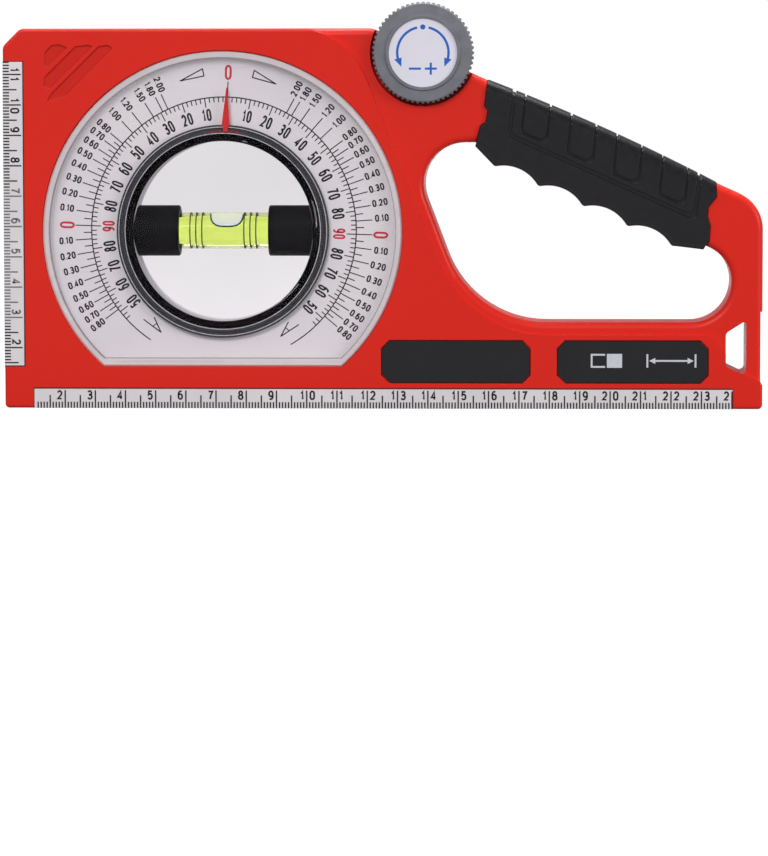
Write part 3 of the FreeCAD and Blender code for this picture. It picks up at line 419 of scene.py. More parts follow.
def makeCoverMaterial(settings):
    # the rim, where the skirt stands behind the face, is milky and ends in a fine dark line; its outer
    # brink is fully milky as a painted highlight
    material, tree, sheet, place = clearSheet("coverClear", settings["glass"], settings["haze"])
    split = addNode(tree, "ShaderNodeSeparateXYZ", None, {0: place}).outputs
    across = calc(tree, "SUBTRACT", split["X"], dialX)
    upward = calc(tree, "SUBTRACT", split["Z"], dialZ)
    flat = addNode(tree, "ShaderNodeCombineXYZ", None, {"X": across, "Y": upward})
    reach = addNode(tree, "ShaderNodeVectorMath", None, {0: flat.outputs[0]})
    reach.operation = "LENGTH"
    fromEdge = calc(tree, "SUBTRACT", dialRadius, reach.outputs["Value"])
    fromFlat = calc(tree, "SUBTRACT", split["Z"], dialLow.z + settings["flatBand"] - settings["band"])
    inside = calc(tree, "MINIMUM", fromEdge, fromFlat)
    band = calc(tree, "MULTIPLY", calc(tree, "LESS_THAN", inside, settings["band"]), settings["milk"])
    # painted highlight: the outermost brink of the rim is fully milky, where the edge catches light
    milk = calc(tree, "MAXIMUM", band, calc(tree, "LESS_THAN", inside, settings["brinkHighlight"]))
    # the milky rim casts no shadow on the dial
    shadow = addNode(tree, "ShaderNodeLightPath").outputs["Is Shadow Ray"]
    milk = calc(tree, "MULTIPLY", milk, calc(tree, "SUBTRACT", 1.0, shadow))
    milky = addNode(tree, "ShaderNodeBsdfPrincipled", {
        "Base Color": settings["milkColour"], "Roughness": settings["milkRough"],
        "IOR": settings["milkBend"]})
    withRim = mixShaders(tree, milk, sheet, milky.outputs[0])
    dark = addNode(tree, "ShaderNodeBsdfDiffuse", {"Color": settings["lineColour"]})
    line = calc(tree, "COMPARE", inside, settings["band"], settings["line"])
    line = calc(tree, "MULTIPLY", line, settings["lineShare"])
    withLine = mixShaders(tree, line, withRim, dark.outputs[0])
    tree.links.new(withLine, tree.nodes["Material Output"].inputs[0])
    return material


materials["coverClear"] = makeCoverMaterial(coverRim)
lensTint = {"glass": (0.937, 0.930, 0.937, 1.0),
            "haze": {"scale": 40.0, "tint": (0.929, 0.922, 0.929, 1.0), "mirror": 0.04}}
vialTint = {"glass": (0.945, 0.975, 0.74, 1.0),
            "haze": {"scale": 90.0, "tint": (0.935, 0.965, 0.70, 1.0), "mirror": 0.30}}
for name, tint in (("lensClear", lensTint), ("vialLime", vialTint)):
    materials[name] = clearSheet(name, tint["glass"], tint["haze"])[0]

# painted light: each of these bodies glows, so that the liquid, the bubble and the ring's inner wall look
# lit from behind
glowing = {
    "liquidLime": {"colour": rgb(225, 233, 162), "shade": rgb(220, 229, 152), "scale": 120.0,
                   "through": 0.55, "glow": 0.72},
    "bubblePale": {"colour": rgb(217, 215, 249), "shade": rgb(211, 210, 243), "scale": 150.0,
                   "through": 0.55, "glow": 0.72},
    # painted light: glowing bands on the ring's black inner wall
    "borePaintedLight": {"colour": rgb(196, 192, 198), "shade": rgb(184, 180, 186), "scale": 60.0,
                 "through": 0.2, "glow": 0.45},
}


def makeGlowing(name, settings):
    # a clear body that spreads the light inside it, with a painted glow added so that it looks lit from
    # behind
    material, tree, shader, place = startMaterial(name)
    tree.nodes.remove(shader)
    streaks = noise(tree, place, settings["scale"], 2.0)
    tone = blend(tree, between(tree, streaks, 0.0, 1.0), settings["colour"], settings["shade"])
    front = addNode(tree, "ShaderNodeBsdfDiffuse", None, {"Color": tone})
    behind = addNode(tree, "ShaderNodeBsdfTranslucent", None, {"Color": tone})
    body = addNode(tree, "ShaderNodeMixShader", {0: settings["through"]},
                   {1: front.outputs[0], 2: behind.outputs[0]})
    glow = addNode(tree, "ShaderNodeEmission", {"Strength": settings["glow"]}, {"Color": tone})
    both = addNode(tree, "ShaderNodeAddShader", None, {0: body.outputs[0], 1: glow.outputs[0]})
    tree.links.new(both.outputs[0], tree.nodes["Material Output"].inputs[0])
    return material


for name, settings in glowing.items():
    materials[name] = makeGlowing(name, settings)

nodeFinish = {
    "caseRed": ["front_shell", "rear_shell"],
    "gripRubber": ["handle_grip"],
    "coverClear": ["dial_cover"],
    "dialSilver": ["dial_plate"],
    "rulerMetal": ["base_ruler", "side_ruler"],
    "plateBlack": ["name_plate_left", "name_plate_right"],
    "ringBlack": ["vial_ring", "vial_holder_left", "vial_holder_right"],
    "retainerGrey": ["ring_bezel", "lens_retainer"],
    "lensClear": ["front_lens", "rear_lens"],
    "pointerRed": ["pointer"],
    "vialLime": ["vial_tube"],
    "liquidLime": ["vial_liquid", "vial_plug_left", "vial_plug_right"],
    "gearWhite": ["ring_gear", "idler_gear", "knob_pinion"],
    "turnedSteel": ["ring_screws", "idler_pin", "knob_screw", "knob_shaft"],
    "turnedBrass": ["knob_bush"],
    "knobGrey": ["knob"],
    "labelSilver": ["knob_label"],
    "magnetPlate": ["base_magnets"],
    "blackSteel": ["case_screws"],
}
for finish, names in nodeFinish.items():
    for name in names:
        mesh = nodes[name].data
        if not mesh.materials:
            mesh.materials.append(materials[finish])
        for slot in nodes[name].material_slots:
            slot.material = materials[finish]
print("materials on", sum(len(names) for names in nodeFinish.values()), "nodes")


# Pieces are gathered as points and faces, in millimetres, and become one closed mesh each
def newSheet():
    return {"points": [], "faces": []}


def addPrism(sheet, outline, low, high):
    # outline of x, z points, drawn through the thickness from low to high
    start = len(sheet["points"])
    count = len(outline)
    sheet["points"] += [(x, low, z) for x, z in outline] + [(x, high, z) for x, z in outline]
    sheet["faces"].append([start + i for i in range(count)])
    sheet["faces"].append([start + count + i for i in reversed(range(count))])
    for i in range(count):
        j = (i + 1) % count
        sheet["faces"].append([start + j, start + i, start + count + i, start + count + j])


def joinSquares(sheet, start, count, closed=True):
    # faces between sets of four points that follow one another from the start
    for i in range(count if closed else count - 1):
        here, following = start + 4 * i, start + 4 * ((i + 1) % count)
        for k in range(4):
            beside = (k + 1) % 4
            sheet["faces"].append([here + k, here + beside, following + beside, following + k])


def addBar(sheet, start, end, width, low, high):
    # a straight stroke
    along = Vector(end) - Vector(start)
    side = Vector((-along.y, along.x)).normalized() * (width / 2)
    first, last = Vector(start), Vector(end)
    outline = [first - side, last - side, last + side, first + side]
    addPrism(sheet, [tuple(p) for p in outline], low, high)


def addArc(sheet, centre, radius, start, end, width, low, high, steps):
    # a curved stroke; angles in degrees, clockwise from straight up
    outer, inner = [], []
    for i in range(steps + 1):
        angle = math.radians(start + (end - start) * i / steps)
        direction = Vector((math.sin(angle), math.cos(angle)))
        outer.append(tuple(Vector(centre) + direction * (radius + width / 2)))
        inner.append(tuple(Vector(centre) + direction * (radius - width / 2)))
    for i in range(steps):
        addPrism(sheet, [outer[i], outer[i + 1], inner[i + 1], inner[i]], low, high)


def sweep(x, y, wide, tall, first, last):
    # points on an oval, from one angle to another; counted anticlockwise from the right
    steps = max(4, round(abs(last - first) / 15))
    path = []
    for i in range(steps + 1):
        angle = math.radians(first + (last - first) * i / steps)
        path.append((x + wide * math.cos(angle), y + tall * math.sin(angle)))
    return path


# each figure as strokes between -0.5 and 0.5, across and up
figureStrokes = {
    "0": [sweep(0, 0.22, 0.46, 0.28, 0, 180) + sweep(0, -0.22, 0.46, 0.28, 180, 360) + [(0.46, 0.22)]],
    "1": [[(-0.30, 0.24), (-0.12, 0.32), (0.08, 0.50), (0.08, -0.50)]],
    "2": [sweep(0, 0.20, 0.44, 0.30, 165, -40) + [(-0.46, -0.47), (0.46, -0.47)]],
    "3": [sweep(0, 0.25, 0.40, 0.25, 155, -90) + sweep(0, -0.23, 0.46, 0.27, 90, -155)],
    "4": [[(0.22, -0.50), (0.22, 0.48), (-0.48, -0.24), (0.50, -0.24)]],
    "5": [[(0.42, 0.48), (-0.32, 0.48), (-0.40, 0.02)] + sweep(-0.01, -0.17, 0.45, 0.33, 140, -152)],
    "6": [sweep(0, -0.18, 0.45, 0.32, 180, 540) + sweep(0.05, 0.10, 0.50, 0.40, 180, 58)],
    "7": [[(-0.46, 0.47), (0.46, 0.47), (0.10, 0.02), (-0.10, -0.50)]],
    "8": [sweep(0, 0.26, 0.38, 0.24, 270, 630) + sweep(0, -0.24, 0.46, 0.26, 90, 450)],
    "9": [sweep(0, 0.18, 0.45, 0.32, 0, 360) + sweep(-0.05, -0.10, 0.50, 0.40, 0, -122)],
    ".": [[(0, -0.50), (0, -0.42)]],
}
figureWidth = {"1": 0.62, ".": 0.30}


ribbon = {"apart": 0.001, "mitre": 0.55}


def addRibbon(sheet, path, width, low, high):
    # one stroke with mitred corners along a line of points; it is a ring where the line closes
    line = [Vector(path[0])]
    for before, point in zip(path, path[1:]):
        if (Vector(point) - Vector(before)).length > ribbon["apart"]:
            line.append(Vector(point))
    closed = (line[0] - line[-1]).length < ribbon["apart"]
    if closed:
        line = line[:-1]
    count = len(line)
    left, right = [], []
    for i, point in enumerate(line):
        before = line[(i - 1) % count] if i > 0 or closed else None
        after = line[(i + 1) % count] if i < count - 1 or closed else None
        come = (point - before).normalized() if before is not None else (after - point).normalized()
        go = (after - point).normalized() if after is not None else come
        side = Vector((-come.y - go.y, come.x + go.x)).normalized()
        reach = width / 2 / max(ribbon["mitre"], side.dot(Vector((-come.y, come.x))))
        left.append(point + side * reach)
        right.append(point - side * reach)
    start = len(sheet["points"])
    for a, b in zip(left, right):
        sheet["points"] += [(a.x, low, a.y), (b.x, low, b.y), (b.x, high, b.y), (a.x, high, a.y)]
    joinSquares(sheet, start, count, closed)
    if not closed:
        sheet["faces"].append([start, start + 3, start + 2, start + 1])
        last = start + 4 * (count - 1)
        sheet["faces"].append([last, last + 1, last + 2, last + 3])


def figureSpan(figure, size):
    return size["wide"] * figureWidth.get(figure, 1.0)


def turnedPlace(centre, turn, x, z):
    # a point right of and above the centre, turned clockwise round it by so many degrees
    angle = math.radians(turn)
    return (centre[0] + x * math.cos(angle) + z * math.sin(angle),
            centre[1] - x * math.sin(angle) + z * math.cos(angle))


def addFigures(sheet, word, place, size, turn, low, high):
    # a row of figures centred on the place; turn is clockwise, in degrees
    spans = [figureSpan(figure, size) for figure in word]
    whole = sum(spans) + size["gap"] * (len(word) - 1)
    tall = size["height"] - size["stroke"]
    left = -whole / 2
    for figure, span in zip(word, spans):
        wide = size["wide"] - size["stroke"]
        middle = left + span / 2
        for path in figureStrokes[figure]:
            turned = [turnedPlace(place, turn, middle + x * wide, y * tall) for x, y in path]
            addRibbon(sheet, turned, size["stroke"], low, high)
        left += span + size["gap"]


def makePiece(name, sheet, finish, body):
    mesh = bpy.data.meshes.new(name)
    mesh.from_pydata([(x * mm, y * mm, z * mm) for x, y, z in sheet["points"]], [], sheet["faces"])
    mesh.materials.append(materials[finish])
    shape = bmesh.new()
    shape.from_mesh(mesh)
    bmesh.ops.recalc_face_normals(shape, faces=shape.faces)
    shape.to_mesh(mesh)
    shape.free()
    piece = bpy.data.objects.new(name, mesh)
    bpy.context.scene.collection.objects.link(piece)
    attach(piece, body)


inkHeight = 0.03


def printLayer(name):
    # front and back of the ink on a node's front face
    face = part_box(name)[0].y / mm
    return face - inkHeight, face


def middleOf(name):
    # across and up to a node's middle
    corner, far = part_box(name)
    return ((corner.x + far.x) / 2 / mm, (corner.z + far.z) / 2 / mm)


def polar(centre, radius, angle):
    turned = math.radians(angle)
    return (centre[0] + radius * math.sin(turned), centre[1] + radius * math.cos(turned))


# Print on the dial; the printed sheet sits turned a little and off centre
dialInk = printLayer("dial_plate")
dialPrint = {
    "offset": (0.25, 0.45), "turn": 1.85,
    "arcRadius": 43.8, "arcEnd": 148, "arcWidth": 0.38, "arcSteps": 150,
    "halfStart": 0.05, "halfStep": 0.1, "halfCount": 8,
    "degreeEnd": 134, "figureEnd": 130, "degreeStep": 2,
    "degreeTick": 1.7, "tenTick": 3.1, "tickWidth": 0.34, "zeroTick": 5.1,
    "degreeFigures": {"radius": 38.2, "height": 4.1, "wide": 1.70, "gap": 0.24, "stroke": 0.62},
    "slopeReach": 49.2, "slopeHalfReach": 46.4,
    "slopeFigures": {"radius": 52.4, "height": 2.4, "wide": 1.46, "gap": 0.12, "stroke": 0.50},
    "slopesAbove": (2.0, 1.8, 1.5, 1.2, 1.0, 0.8, 0.7, 0.6, 0.5, 0.4, 0.3, 0.2, 0.1),
    "slopesBelow": (0.1, 0.2, 0.3, 0.4, 0.5, 0.6, 0.7, 0.8),
    "shifts": {2.0: -0.9, 1.8: 0.4, 1.2: -0.3}, "upperShift": -0.5,
    "zero": {"radius": 51.9, "height": 5.0, "wide": 2.4, "gap": 0.0, "stroke": 0.72},
}
dialCentre = (dialX / mm + dialPrint["offset"][0], dialZ / mm + dialPrint["offset"][1])


def onDial(radius, angle):
    # a place on the printed sheet; the angle is clockwise from its zero
    return polar(dialCentre, radius, angle + dialPrint["turn"])


def slopeAngle(slope):
    # degrees from the top at which a line has this slope
    return 90 - math.degrees(math.atan(slope))


def printDegrees(settings):
    black, red = newSheet(), newSheet()
    arc, turn = settings["arcRadius"], settings["turn"]
    addArc(black, dialCentre, arc, turn - settings["arcEnd"], turn + settings["arcEnd"],
           settings["arcWidth"], *dialInk, settings["arcSteps"])
    for angle in range(-settings["degreeEnd"], settings["degreeEnd"] + 1, settings["degreeStep"]):
        length = settings["tenTick"] if angle % 10 == 0 else settings["degreeTick"]
        if angle == 0:
            length = -settings["zeroTick"]
        addBar(black, onDial(arc, angle), onDial(arc - length, angle), settings["tickWidth"], *dialInk)
    figure = settings["degreeFigures"]
    for side in (-1, 1):
        for angle in range(10, settings["figureEnd"] + 1, 10):
            reading = angle if angle <= 90 else 180 - angle
            target = red if reading == 90 else black
            place = onDial(figure["radius"], side * angle)
            addFigures(target, str(reading), place, figure, side * angle + turn, *dialInk)
    zero = settings["zero"]
    for angle in (-90, 0, 90):
        addFigures(red, "0", onDial(zero["radius"], angle), zero, angle + turn, *dialInk)
    makePiece("degree_print", black, "inkBlack", "case")
    makePiece("zero_print", red, "inkRed", "case")


def printSlopes(settings):
    black = newSheet()
    figure, width = settings["slopeFigures"], settings["tickWidth"]
    marks = []
    for slope in settings["slopesAbove"]:
        usual = 0.0 if slope >= 1 else settings["upperShift"]
        marks.append((slopeAngle(slope), slope, settings["shifts"].get(slope, usual)))
    for slope in settings["slopesBelow"]:
        marks.append((180 - slopeAngle(slope), slope, 0.0))
    halves = [slopeAngle(settings["halfStart"] + settings["halfStep"] * i)
              for i in range(settings["halfCount"])]
    halves += [180 - angle for angle in halves]
    arc, reach, halfReach = settings["arcRadius"], settings["slopeReach"], settings["slopeHalfReach"]
    for side in (-1, 1):
        for angle, slope, shift in marks:
            addBar(black, onDial(arc, side * angle), onDial(reach, side * angle), width, *dialInk)
            place = side * (angle + shift)
            addFigures(black, "%.2f" % slope, onDial(figure["radius"], place), figure,
                       place + settings["turn"] - side * 90, *dialInk)
        addBar(black, onDial(arc, side * 90), onDial(reach, side * 90), width, *dialInk)
        for angle in halves:
            addBar(black, onDial(arc, side * angle), onDial(halfReach, side * angle), width, *dialInk)
    makePiece("slope_print", black, "inkBlack", "case")


printDegrees(dialPrint)
printSlopes(dialPrint)
print("dial printed")

# Print on the two rulers
rulerPrint = {
    "inset": 0.05,
    "base": {"first": 11, "last": 240, "mmTick": 2.1, "halfTick": 4.3, "cmTick": 5.9, "width": 0.48,
             "figureMiddle": 4.35, "figureGap": 0.85,
             "figure": {"height": 3.2, "wide": 1.96, "gap": 0.0, "stroke": 0.60}},
    "side": {"first": 15, "last": 114, "mmTick": 2.1, "halfTick": 4.6, "cmTick": 6.0, "width": 0.46,
             "figureMiddle": 3.95, "figureGap": 0.9, "fadedFrom": 28, "fadedTo": 72,
             "figure": {"height": 3.1, "wide": 1.98, "gap": 0.0, "stroke": 0.58}},
}


def tickLength(settings, reading):
    if reading % 10 == 0:
        return settings["cmTick"]
    return settings["halfTick"] if reading % 5 == 0 else settings["mmTick"]


def figureOut(settings, digit):
    # how far the middle of a digit stands from its tick
    return settings["figureGap"] + figureSpan(digit, settings["figure"]) / 2


def printBaseRuler(settings):
    black = newSheet()
    ink = printLayer("base_ruler")
    zero = cadLow.x / mm
    for reading in range(settings["first"], settings["last"] + 1):
        x, top = zero + reading, tickLength(settings, reading)
        addBar(black, (x, rulerPrint["inset"]), (x, top), settings["width"], *ink)
        if reading % 10 == 0:
            word = str(reading // 10)
            sides = (-1,) if len(word) == 1 else (-1, 1)
            # the strip's end cuts the last number's second figure off
            if reading == settings["last"]:
                word = word[:1]
            for digit, side in zip(word, sides):
                place = (x + side * figureOut(settings, digit), settings["figureMiddle"])
                addFigures(black, digit, place, settings["figure"], 0, *ink)
    makePiece("base_ruler_print", black, "inkBlack", "case")


def printSideRuler(settings):
    # the middle of the strip is worn by the hand, so its ink is thinner
    black, worn = newSheet(), newSheet()
    ink = printLayer("side_ruler")
    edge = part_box("side_ruler")[0].x / mm
    for reading in range(settings["first"], settings["last"] + 1):
        sheet = worn if settings["fadedFrom"] <= reading <= settings["fadedTo"] else black
        end = edge + tickLength(settings, reading)
        addBar(sheet, (edge + rulerPrint["inset"], reading), (end, reading), settings["width"], *ink)
        if reading % 10 == 0:
            for digit, side in zip(str(reading // 10), (1, -1)):
                place = (edge + settings["figureMiddle"], reading + side * figureOut(settings, digit))
                addFigures(sheet, digit, place, settings["figure"], 90, *ink)
    makePiece("side_ruler_print", black, "inkBlack", "case")
    makePiece("side_ruler_worn_print", worn, "inkFaded", "case")


printBaseRuler(rulerPrint["base"])
printSideRuler(rulerPrint["side"])

rulerShadeLine = {"width": 0.42, "depth": 0.03}


def makeRulerSeams(settings):
    # painted shade: a dark strip along the edges of each ruler strip, standing in for the shadow in the
    # gap at its seat
    dark = newSheet()
    width, half = settings["width"], settings["width"] / 2
    corner, far = [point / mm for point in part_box("base_ruler")]
    addBar(dark, (corner.x - half, far.z), (far.x + half, far.z), width, corner.y - settings["depth"],
           corner.y)
    corner, far = [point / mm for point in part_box("side_ruler")]
    low, high = corner.y - settings["depth"], corner.y
    addBar(dark, (far.x, corner.z - half), (far.x, far.z + half), width, low, high)
    addBar(dark, (corner.x, corner.z), (far.x - half, corner.z), width, low, high)
    makePiece("ruler_shade_lines", dark, "shadeLineRed", "case")


makeRulerSeams(rulerShadeLine)
print("rulers printed")

# Small pictures where the tool has words: a slope and an angle on the dial, a magnet on the right plate
dialSigns = {
    "slope": {"radius": 52.15, "angle": 13.5, "width": 8.0, "height": 2.4, "stroke": 0.38},
    "angle": {"radius": 38.4, "angle": 145.0, "width": 7.0, "height": 2.6, "stroke": 0.38,
              "arc": 3.2, "arcStroke": 0.8, "arcSteps": 6},
    "dotStep": 30,
}


def strokeLine(sheet, points, stroke, low, high):
    # straight strokes from point to point, with a round dot on each point
    for start, end in zip(points, points[1:]):
        addBar(sheet, start, end, stroke, low, high)
    for point in points:
        dot = [polar(point, stroke / 2, a) for a in range(0, 360, dialSigns["dotStep"])]
        addPrism(sheet, dot, low, high)


def printDialSigns(signs):
    black = newSheet()
    slope = signs["slope"]
    wide, tall = slope["width"] / 2, slope["height"] / 2
    for side in (-1, 1):
        centre = onDial(slope["radius"], side * slope["angle"])
        turn = side * slope["angle"] + dialPrint["turn"]
        wedge = [(-wide, -tall), (wide, -tall), (wide, tall), (-wide, -tall)]
        wedge = [turnedPlace(centre, turn, -side * x, z) for x, z in wedge]
        strokeLine(black, wedge, slope["stroke"], *dialInk)
    corner = signs["angle"]
    wide, tall = corner["width"] / 2, corner["height"] / 2
    for side in (-1, 1):
        centre = onDial(corner["radius"], side * corner["angle"])
        turn = side * (corner["angle"] - 180) + dialPrint["turn"]
        legs = [(side * wide, -tall), (-side * wide, -tall), (side * wide / 3, tall)]
        legs = [turnedPlace(centre, turn, x, z) for x, z in legs]
        strokeLine(black, legs, corner["stroke"], *dialInk)
        lean = math.degrees(math.atan2(2 * tall, wide * 4 / 3))
        opening = []
        for step in range(corner["arcSteps"] + 1):
            a = math.radians(lean * step / corner["arcSteps"])
            opening.append(turnedPlace(centre, turn, side * (-wide + corner["arc"] * math.cos(a)),
                                       -tall + corner["arc"] * math.sin(a)))
        strokeLine(black, opening, corner["stroke"] * corner["arcStroke"], *dialInk)
    makePiece("dial_signs", black, "inkBlack", "case")


printDialSigns(dialSigns)

plateSign = {
    "magnet": {"right": 33.2, "up": 0.4, "wide": 10.0, "tall": 4.6, "rim": 0.6},
    "length": {"right": 12.0, "up": 0.4, "wide": 14.6, "tall": 4.4, "stroke": 0.6, "head": 2.0},
}


def printPlateSign(settings):
    # a bar magnet with one half filled, and an arrow from end to end for the tool's length
    white = newSheet()
    ink = printLayer("name_plate_right")
    right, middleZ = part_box("name_plate_right")[1].x / mm, middleOf("name_plate_right")[1]
    magnet = settings["magnet"]
    x, z = right - magnet["right"], middleZ + magnet["up"]
    wide, tall, rim = magnet["wide"] / 2, magnet["tall"] / 2, magnet["rim"]
    addPrism(white, [(x, z - tall), (x + wide, z - tall), (x + wide, z + tall), (x, z + tall)], *ink)
    edge = [(x - rim, z + tall - rim / 2), (x - wide, z + tall - rim / 2),
            (x - wide, z - tall + rim / 2), (x - rim, z - tall + rim / 2)]
    addRibbon(white, edge, rim, *ink)
    length = settings["length"]
    x, z = right - length["right"], middleZ + length["up"]
    wide, tall, head, stroke = length["wide"] / 2, length["tall"] / 2, length["head"], length["stroke"]
    addBar(white, (x - wide + head, z), (x + wide - head, z), stroke, *ink)
    for side in (-1, 1):
        end = x + side * wide
        addBar(white, (end + side * stroke, z - tall), (end + side * stroke, z + tall), stroke, *ink)
        neck = end - side * head
        addPrism(white, [(end, z), (neck, z - head / 2), (neck, z + head / 2)], *ink)
    makePiece("plate_sign", white, "inkWhite", "case")


printPlateSign(plateSign)

# Print on the knob's label
knobPrint = {
    "radius": 8.4, "stroke": 0.80, "start": 13.0, "end": 103.0, "steps": 28,
    "headEnd": 123.0, "headWidth": 2.5, "dot": 0.85, "dotStep": 18,
    "signDown": 5.2, "signOut": 2.6, "signSize": 3.9, "signStroke": 0.70,
}


def printKnobLabel(settings):
    blue = newSheet()
    ink, centre = printLayer("knob_label"), middleOf("knob_label")
    radius, end, headHalf = settings["radius"], settings["end"], settings["headWidth"] / 2
    for side in (-1, 1):
        addArc(blue, centre, radius, side * settings["start"], side * end, settings["stroke"], *ink,
               settings["steps"])
        tip = polar(centre, radius, side * settings["headEnd"])
        inner, outer = [polar(centre, radius + out, side * end) for out in (-headHalf, headHalf)]
        addPrism(blue, [tip, inner, outer], *ink)
    middle = polar(centre, radius, 0.0)
    addPrism(blue, [polar(middle, settings["dot"], a) for a in range(0, 360, settings["dotStep"])], *ink)
    # a minus and a plus below the arrows
    half, stroke = settings["signSize"] / 2, settings["signStroke"]
    z = centre[1] - settings["signDown"]
    for side in (-1, 1):
        x = centre[0] + side * settings["signOut"]
        addBar(blue, (x - half, z), (x + half, z), stroke, *ink)
        if side == 1:
            for up in (-1, 1):
                addBar(blue, (x, z + up * stroke / 2), (x, z + up * half), stroke, *ink)
    makePiece("knob_print", blue, "inkBlue", "knob_drive")


printKnobLabel(knobPrint)
print("signs printed")

# The vial's lines and its bubble
vialLow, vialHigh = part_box("vial_tube")
vialAxis = ((vialLow.y + vialHigh.y) / 2 / mm, (vialLow.z + vialHigh.z) / 2 / mm)
ringCentre = middleOf("vial_ring")
vialParts = {
    "lines": (-11.2, -9.25, -7.25, 6.7, 8.7, 10.65), "lineWidth": 0.42, "steps": 48,
    "bubbleStart": -4.5, "bubbleEnd": 6.4, "bubbleDeep": 4.35, "bubbleRadius": 5.85, "edgeRadius": 0.28,
    "flatness": 3.2, "roundness": 0.42, "belly": 0.6, "endShare": 0.999, "endDepth": 0.05,
    "stations": 41, "around": 32, "edgeSteps": 10,
}


def addBand(sheet, centre, startX, endX, outer, inner, steps):
    # a ring round an axis along x
    start = len(sheet["points"])
    for i in range(steps):
        angle = 2 * math.pi * i / steps
        for x, radius in ((startX, outer), (endX, outer), (endX, inner), (startX, inner)):
            y, z = centre[0] + radius * math.cos(angle), centre[1] + radius * math.sin(angle)
            sheet["points"].append((x, y, z))
    joinSquares(sheet, start, steps)


def makeVialLines(settings):
    dark = newSheet()
    radius = (vialHigh.z - vialLow.z) / 2 / mm
    half = settings["lineWidth"] / 2
    for place in settings["lines"]:
        middle = ringCentre[0] + place
        addBand(dark, vialAxis, middle - half, middle + half, radius + inkHeight, radius,
                settings["steps"])
    makePiece("vial_lines", dark, "inkOlive", "ring")


def bubbleDepth(settings, share):
    # how deep the bubble hangs, from one end (-1) to the other (1)
    depth = settings["bubbleDeep"] * (1 - abs(share) ** settings["flatness"]) ** settings["roundness"]
    return max(depth, settings["endDepth"])


def makeBubble(settings):
    # the air at the top of the vial: round above, nearly flat below
    air, edge = newSheet(), newSheet()
    axisY, axisZ = vialAxis
    half = (settings["bubbleEnd"] - settings["bubbleStart"]) / 2
    middle = ringCentre[0] + (settings["bubbleStart"] + settings["bubbleEnd"]) / 2
    radius = settings["bubbleRadius"]
    stations, around = settings["stations"], settings["around"]
    line = []
    for i in range(stations):
        share = math.sin(math.pi / 2 * (2 * i / (stations - 1) - 1)) * settings["endShare"]
        low = radius - bubbleDepth(settings, share)
        wide = math.sqrt(radius ** 2 - low ** 2)
        for k in range(around):
            angle = 2 * math.pi * k / around
            y = wide * math.cos(angle)
            top = math.sqrt(radius ** 2 - y ** 2)
            drop = 0.0 if angle <= math.pi else abs(math.sin(angle)) ** settings["belly"]
            z = low + (top - low) * (1 - drop) if drop else top
            air["points"].append((middle + share * half, axisY + y, axisZ + z))
        line.append((middle + share * half, axisZ + low))
    for i in range(stations - 1):
        for k in range(around):
            here, after = i * around + k, i * around + (k + 1) % around
            air["faces"].append([here, after, after + around, here + around])
    air["faces"].append(list(range(around)))
    air["faces"].append([(stations - 1) * around + k for k in range(around)])
    makePiece("bubble", air, "bubblePale", "ring")
    # its dark outline, along the front and the back
    steps, thick = settings["edgeSteps"], settings["edgeRadius"]
    for side in (-1, 1):
        rim = []
        for x, z in line:
            wide = math.sqrt(radius ** 2 - (z - axisZ) ** 2)
            rim.append(Vector((x, axisY + side * wide, z)))
        first = len(edge["points"])
        for i, point in enumerate(rim):
            along = (rim[min(i + 1, stations - 1)] - rim[max(i - 1, 0)]).normalized()
            across = along.cross(Vector((0, 1, 0))).normalized()
            outward = along.cross(across)
            for k in range(steps):
                angle = 2 * math.pi * k / steps
                place = point + (across * math.cos(angle) + outward * math.sin(angle)) * thick
                edge["points"].append(tuple(place))
        for i in range(stations - 1):
            for k in range(steps):
                here, after = first + i * steps + k, first + i * steps + (k + 1) % steps
                edge["faces"].append([here, after, after + steps, here + steps])
        edge["faces"].append([first + k for k in range(steps)])
        edge["faces"].append([first + (stations - 1) * steps + k for k in range(steps)])
    makePiece("bubble_edge", edge, "bubbleGreen", "ring")


def addHoop(sheet, centre, inner, outer, low, high, steps):
    # a ring round an axis from front to back
    start = len(sheet["points"])
    for i in range(steps):
        near, wide = [polar(centre, radius, 360 * i / steps) for radius in (inner, outer)]
        for (x, z), y in ((near, low), (wide, low), (wide, high), (near, high)):
            sheet["points"].append((x, y, z))
    joinSquares(sheet, start, steps)
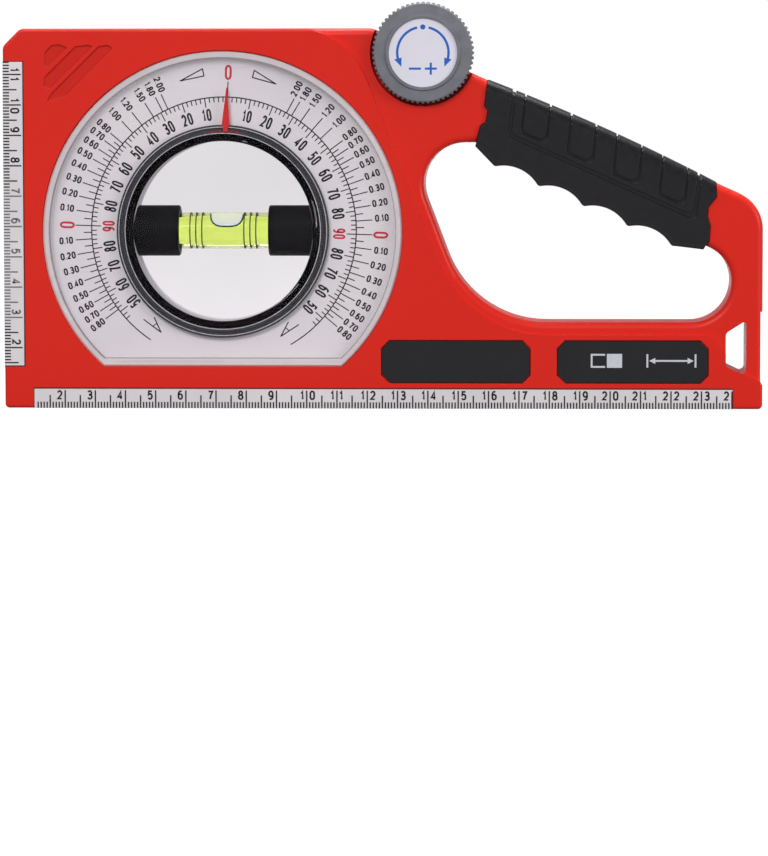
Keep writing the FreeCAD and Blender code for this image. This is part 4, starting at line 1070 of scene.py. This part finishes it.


# The ring's painted light: painted highlights on its edges, the needle's painted reflection and painted
# light on its inner wall
ringGleam = {"places": (34.38, 32.31), "width": 0.24, "front": 0.05, "depth": 0.10, "steps": 120}
needleReflection = {"radius": 32.95, "width": 0.7, "near": 8.5, "far": 12.5, "front": 0.02, "steps": 16}
boreGleam = {"depth": 0.04, "bands": ((0.03, 0.20), (0.27, 0.52), (0.59, 0.97)), "steps": 120}
retainerCentre = middleOf("lens_retainer")
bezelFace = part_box("ring_bezel")[0].y / mm


def makeRingGleam(settings):
    # painted highlights: pale rings where light catches the polished edges on both sides of the lens
    # retainer
    pale = newSheet()
    front, half = bezelFace - settings["front"], settings["width"] / 2
    for radius in settings["places"]:
        addHoop(pale, retainerCentre, radius - half, radius + half, front, front + settings["depth"],
                settings["steps"])
    makePiece("lens_edge_highlights", pale, "edgeHighlightPale", "ring")


def makeNeedleGlow(settings):
    # painted reflection: the needle's red mirrored on the glossy retainer around its foot, bright near it
    # and fainter further out
    bright, faint = newSheet(), newSheet()
    needle = middleOf("pointer")
    lean = math.degrees(math.atan2(needle[0] - retainerCentre[0], needle[1] - retainerCentre[1]))
    near, reach = settings["near"], settings["far"]
    for sheet, start, end in ((bright, -near, near), (faint, -reach, -near), (faint, near, reach)):
        addArc(sheet, retainerCentre, settings["radius"], lean + start, lean + end, settings["width"],
               bezelFace - settings["front"], bezelFace, settings["steps"])
    makePiece("needle_reflection", bright, "reflectionRed", "ring")
    makePiece("needle_reflection_ends", faint, "reflectionFaint", "ring")


def makeBoreGleam(settings):
    # painted light: pale, glowing bands where the clear lenses light the ring's inner wall
    pale = newSheet()
    front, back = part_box("front_lens")[1].y / mm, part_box("rear_lens")[0].y / mm
    radius = (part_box("vial_holder_right")[1].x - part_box("vial_holder_left")[0].x) / 2 / mm
    for near, far in settings["bands"]:
        addHoop(pale, ringCentre, radius - settings["depth"], radius, front + (back - front) * near,
                front + (back - front) * far, settings["steps"])
    makePiece("bore_gleam", pale, "borePaintedLight", "ring")


makeRingGleam(ringGleam)
makeNeedleGlow(needleReflection)
makeBoreGleam(boreGleam)
makeVialLines(vialParts)
makeBubble(vialParts)
print("vial dressed")
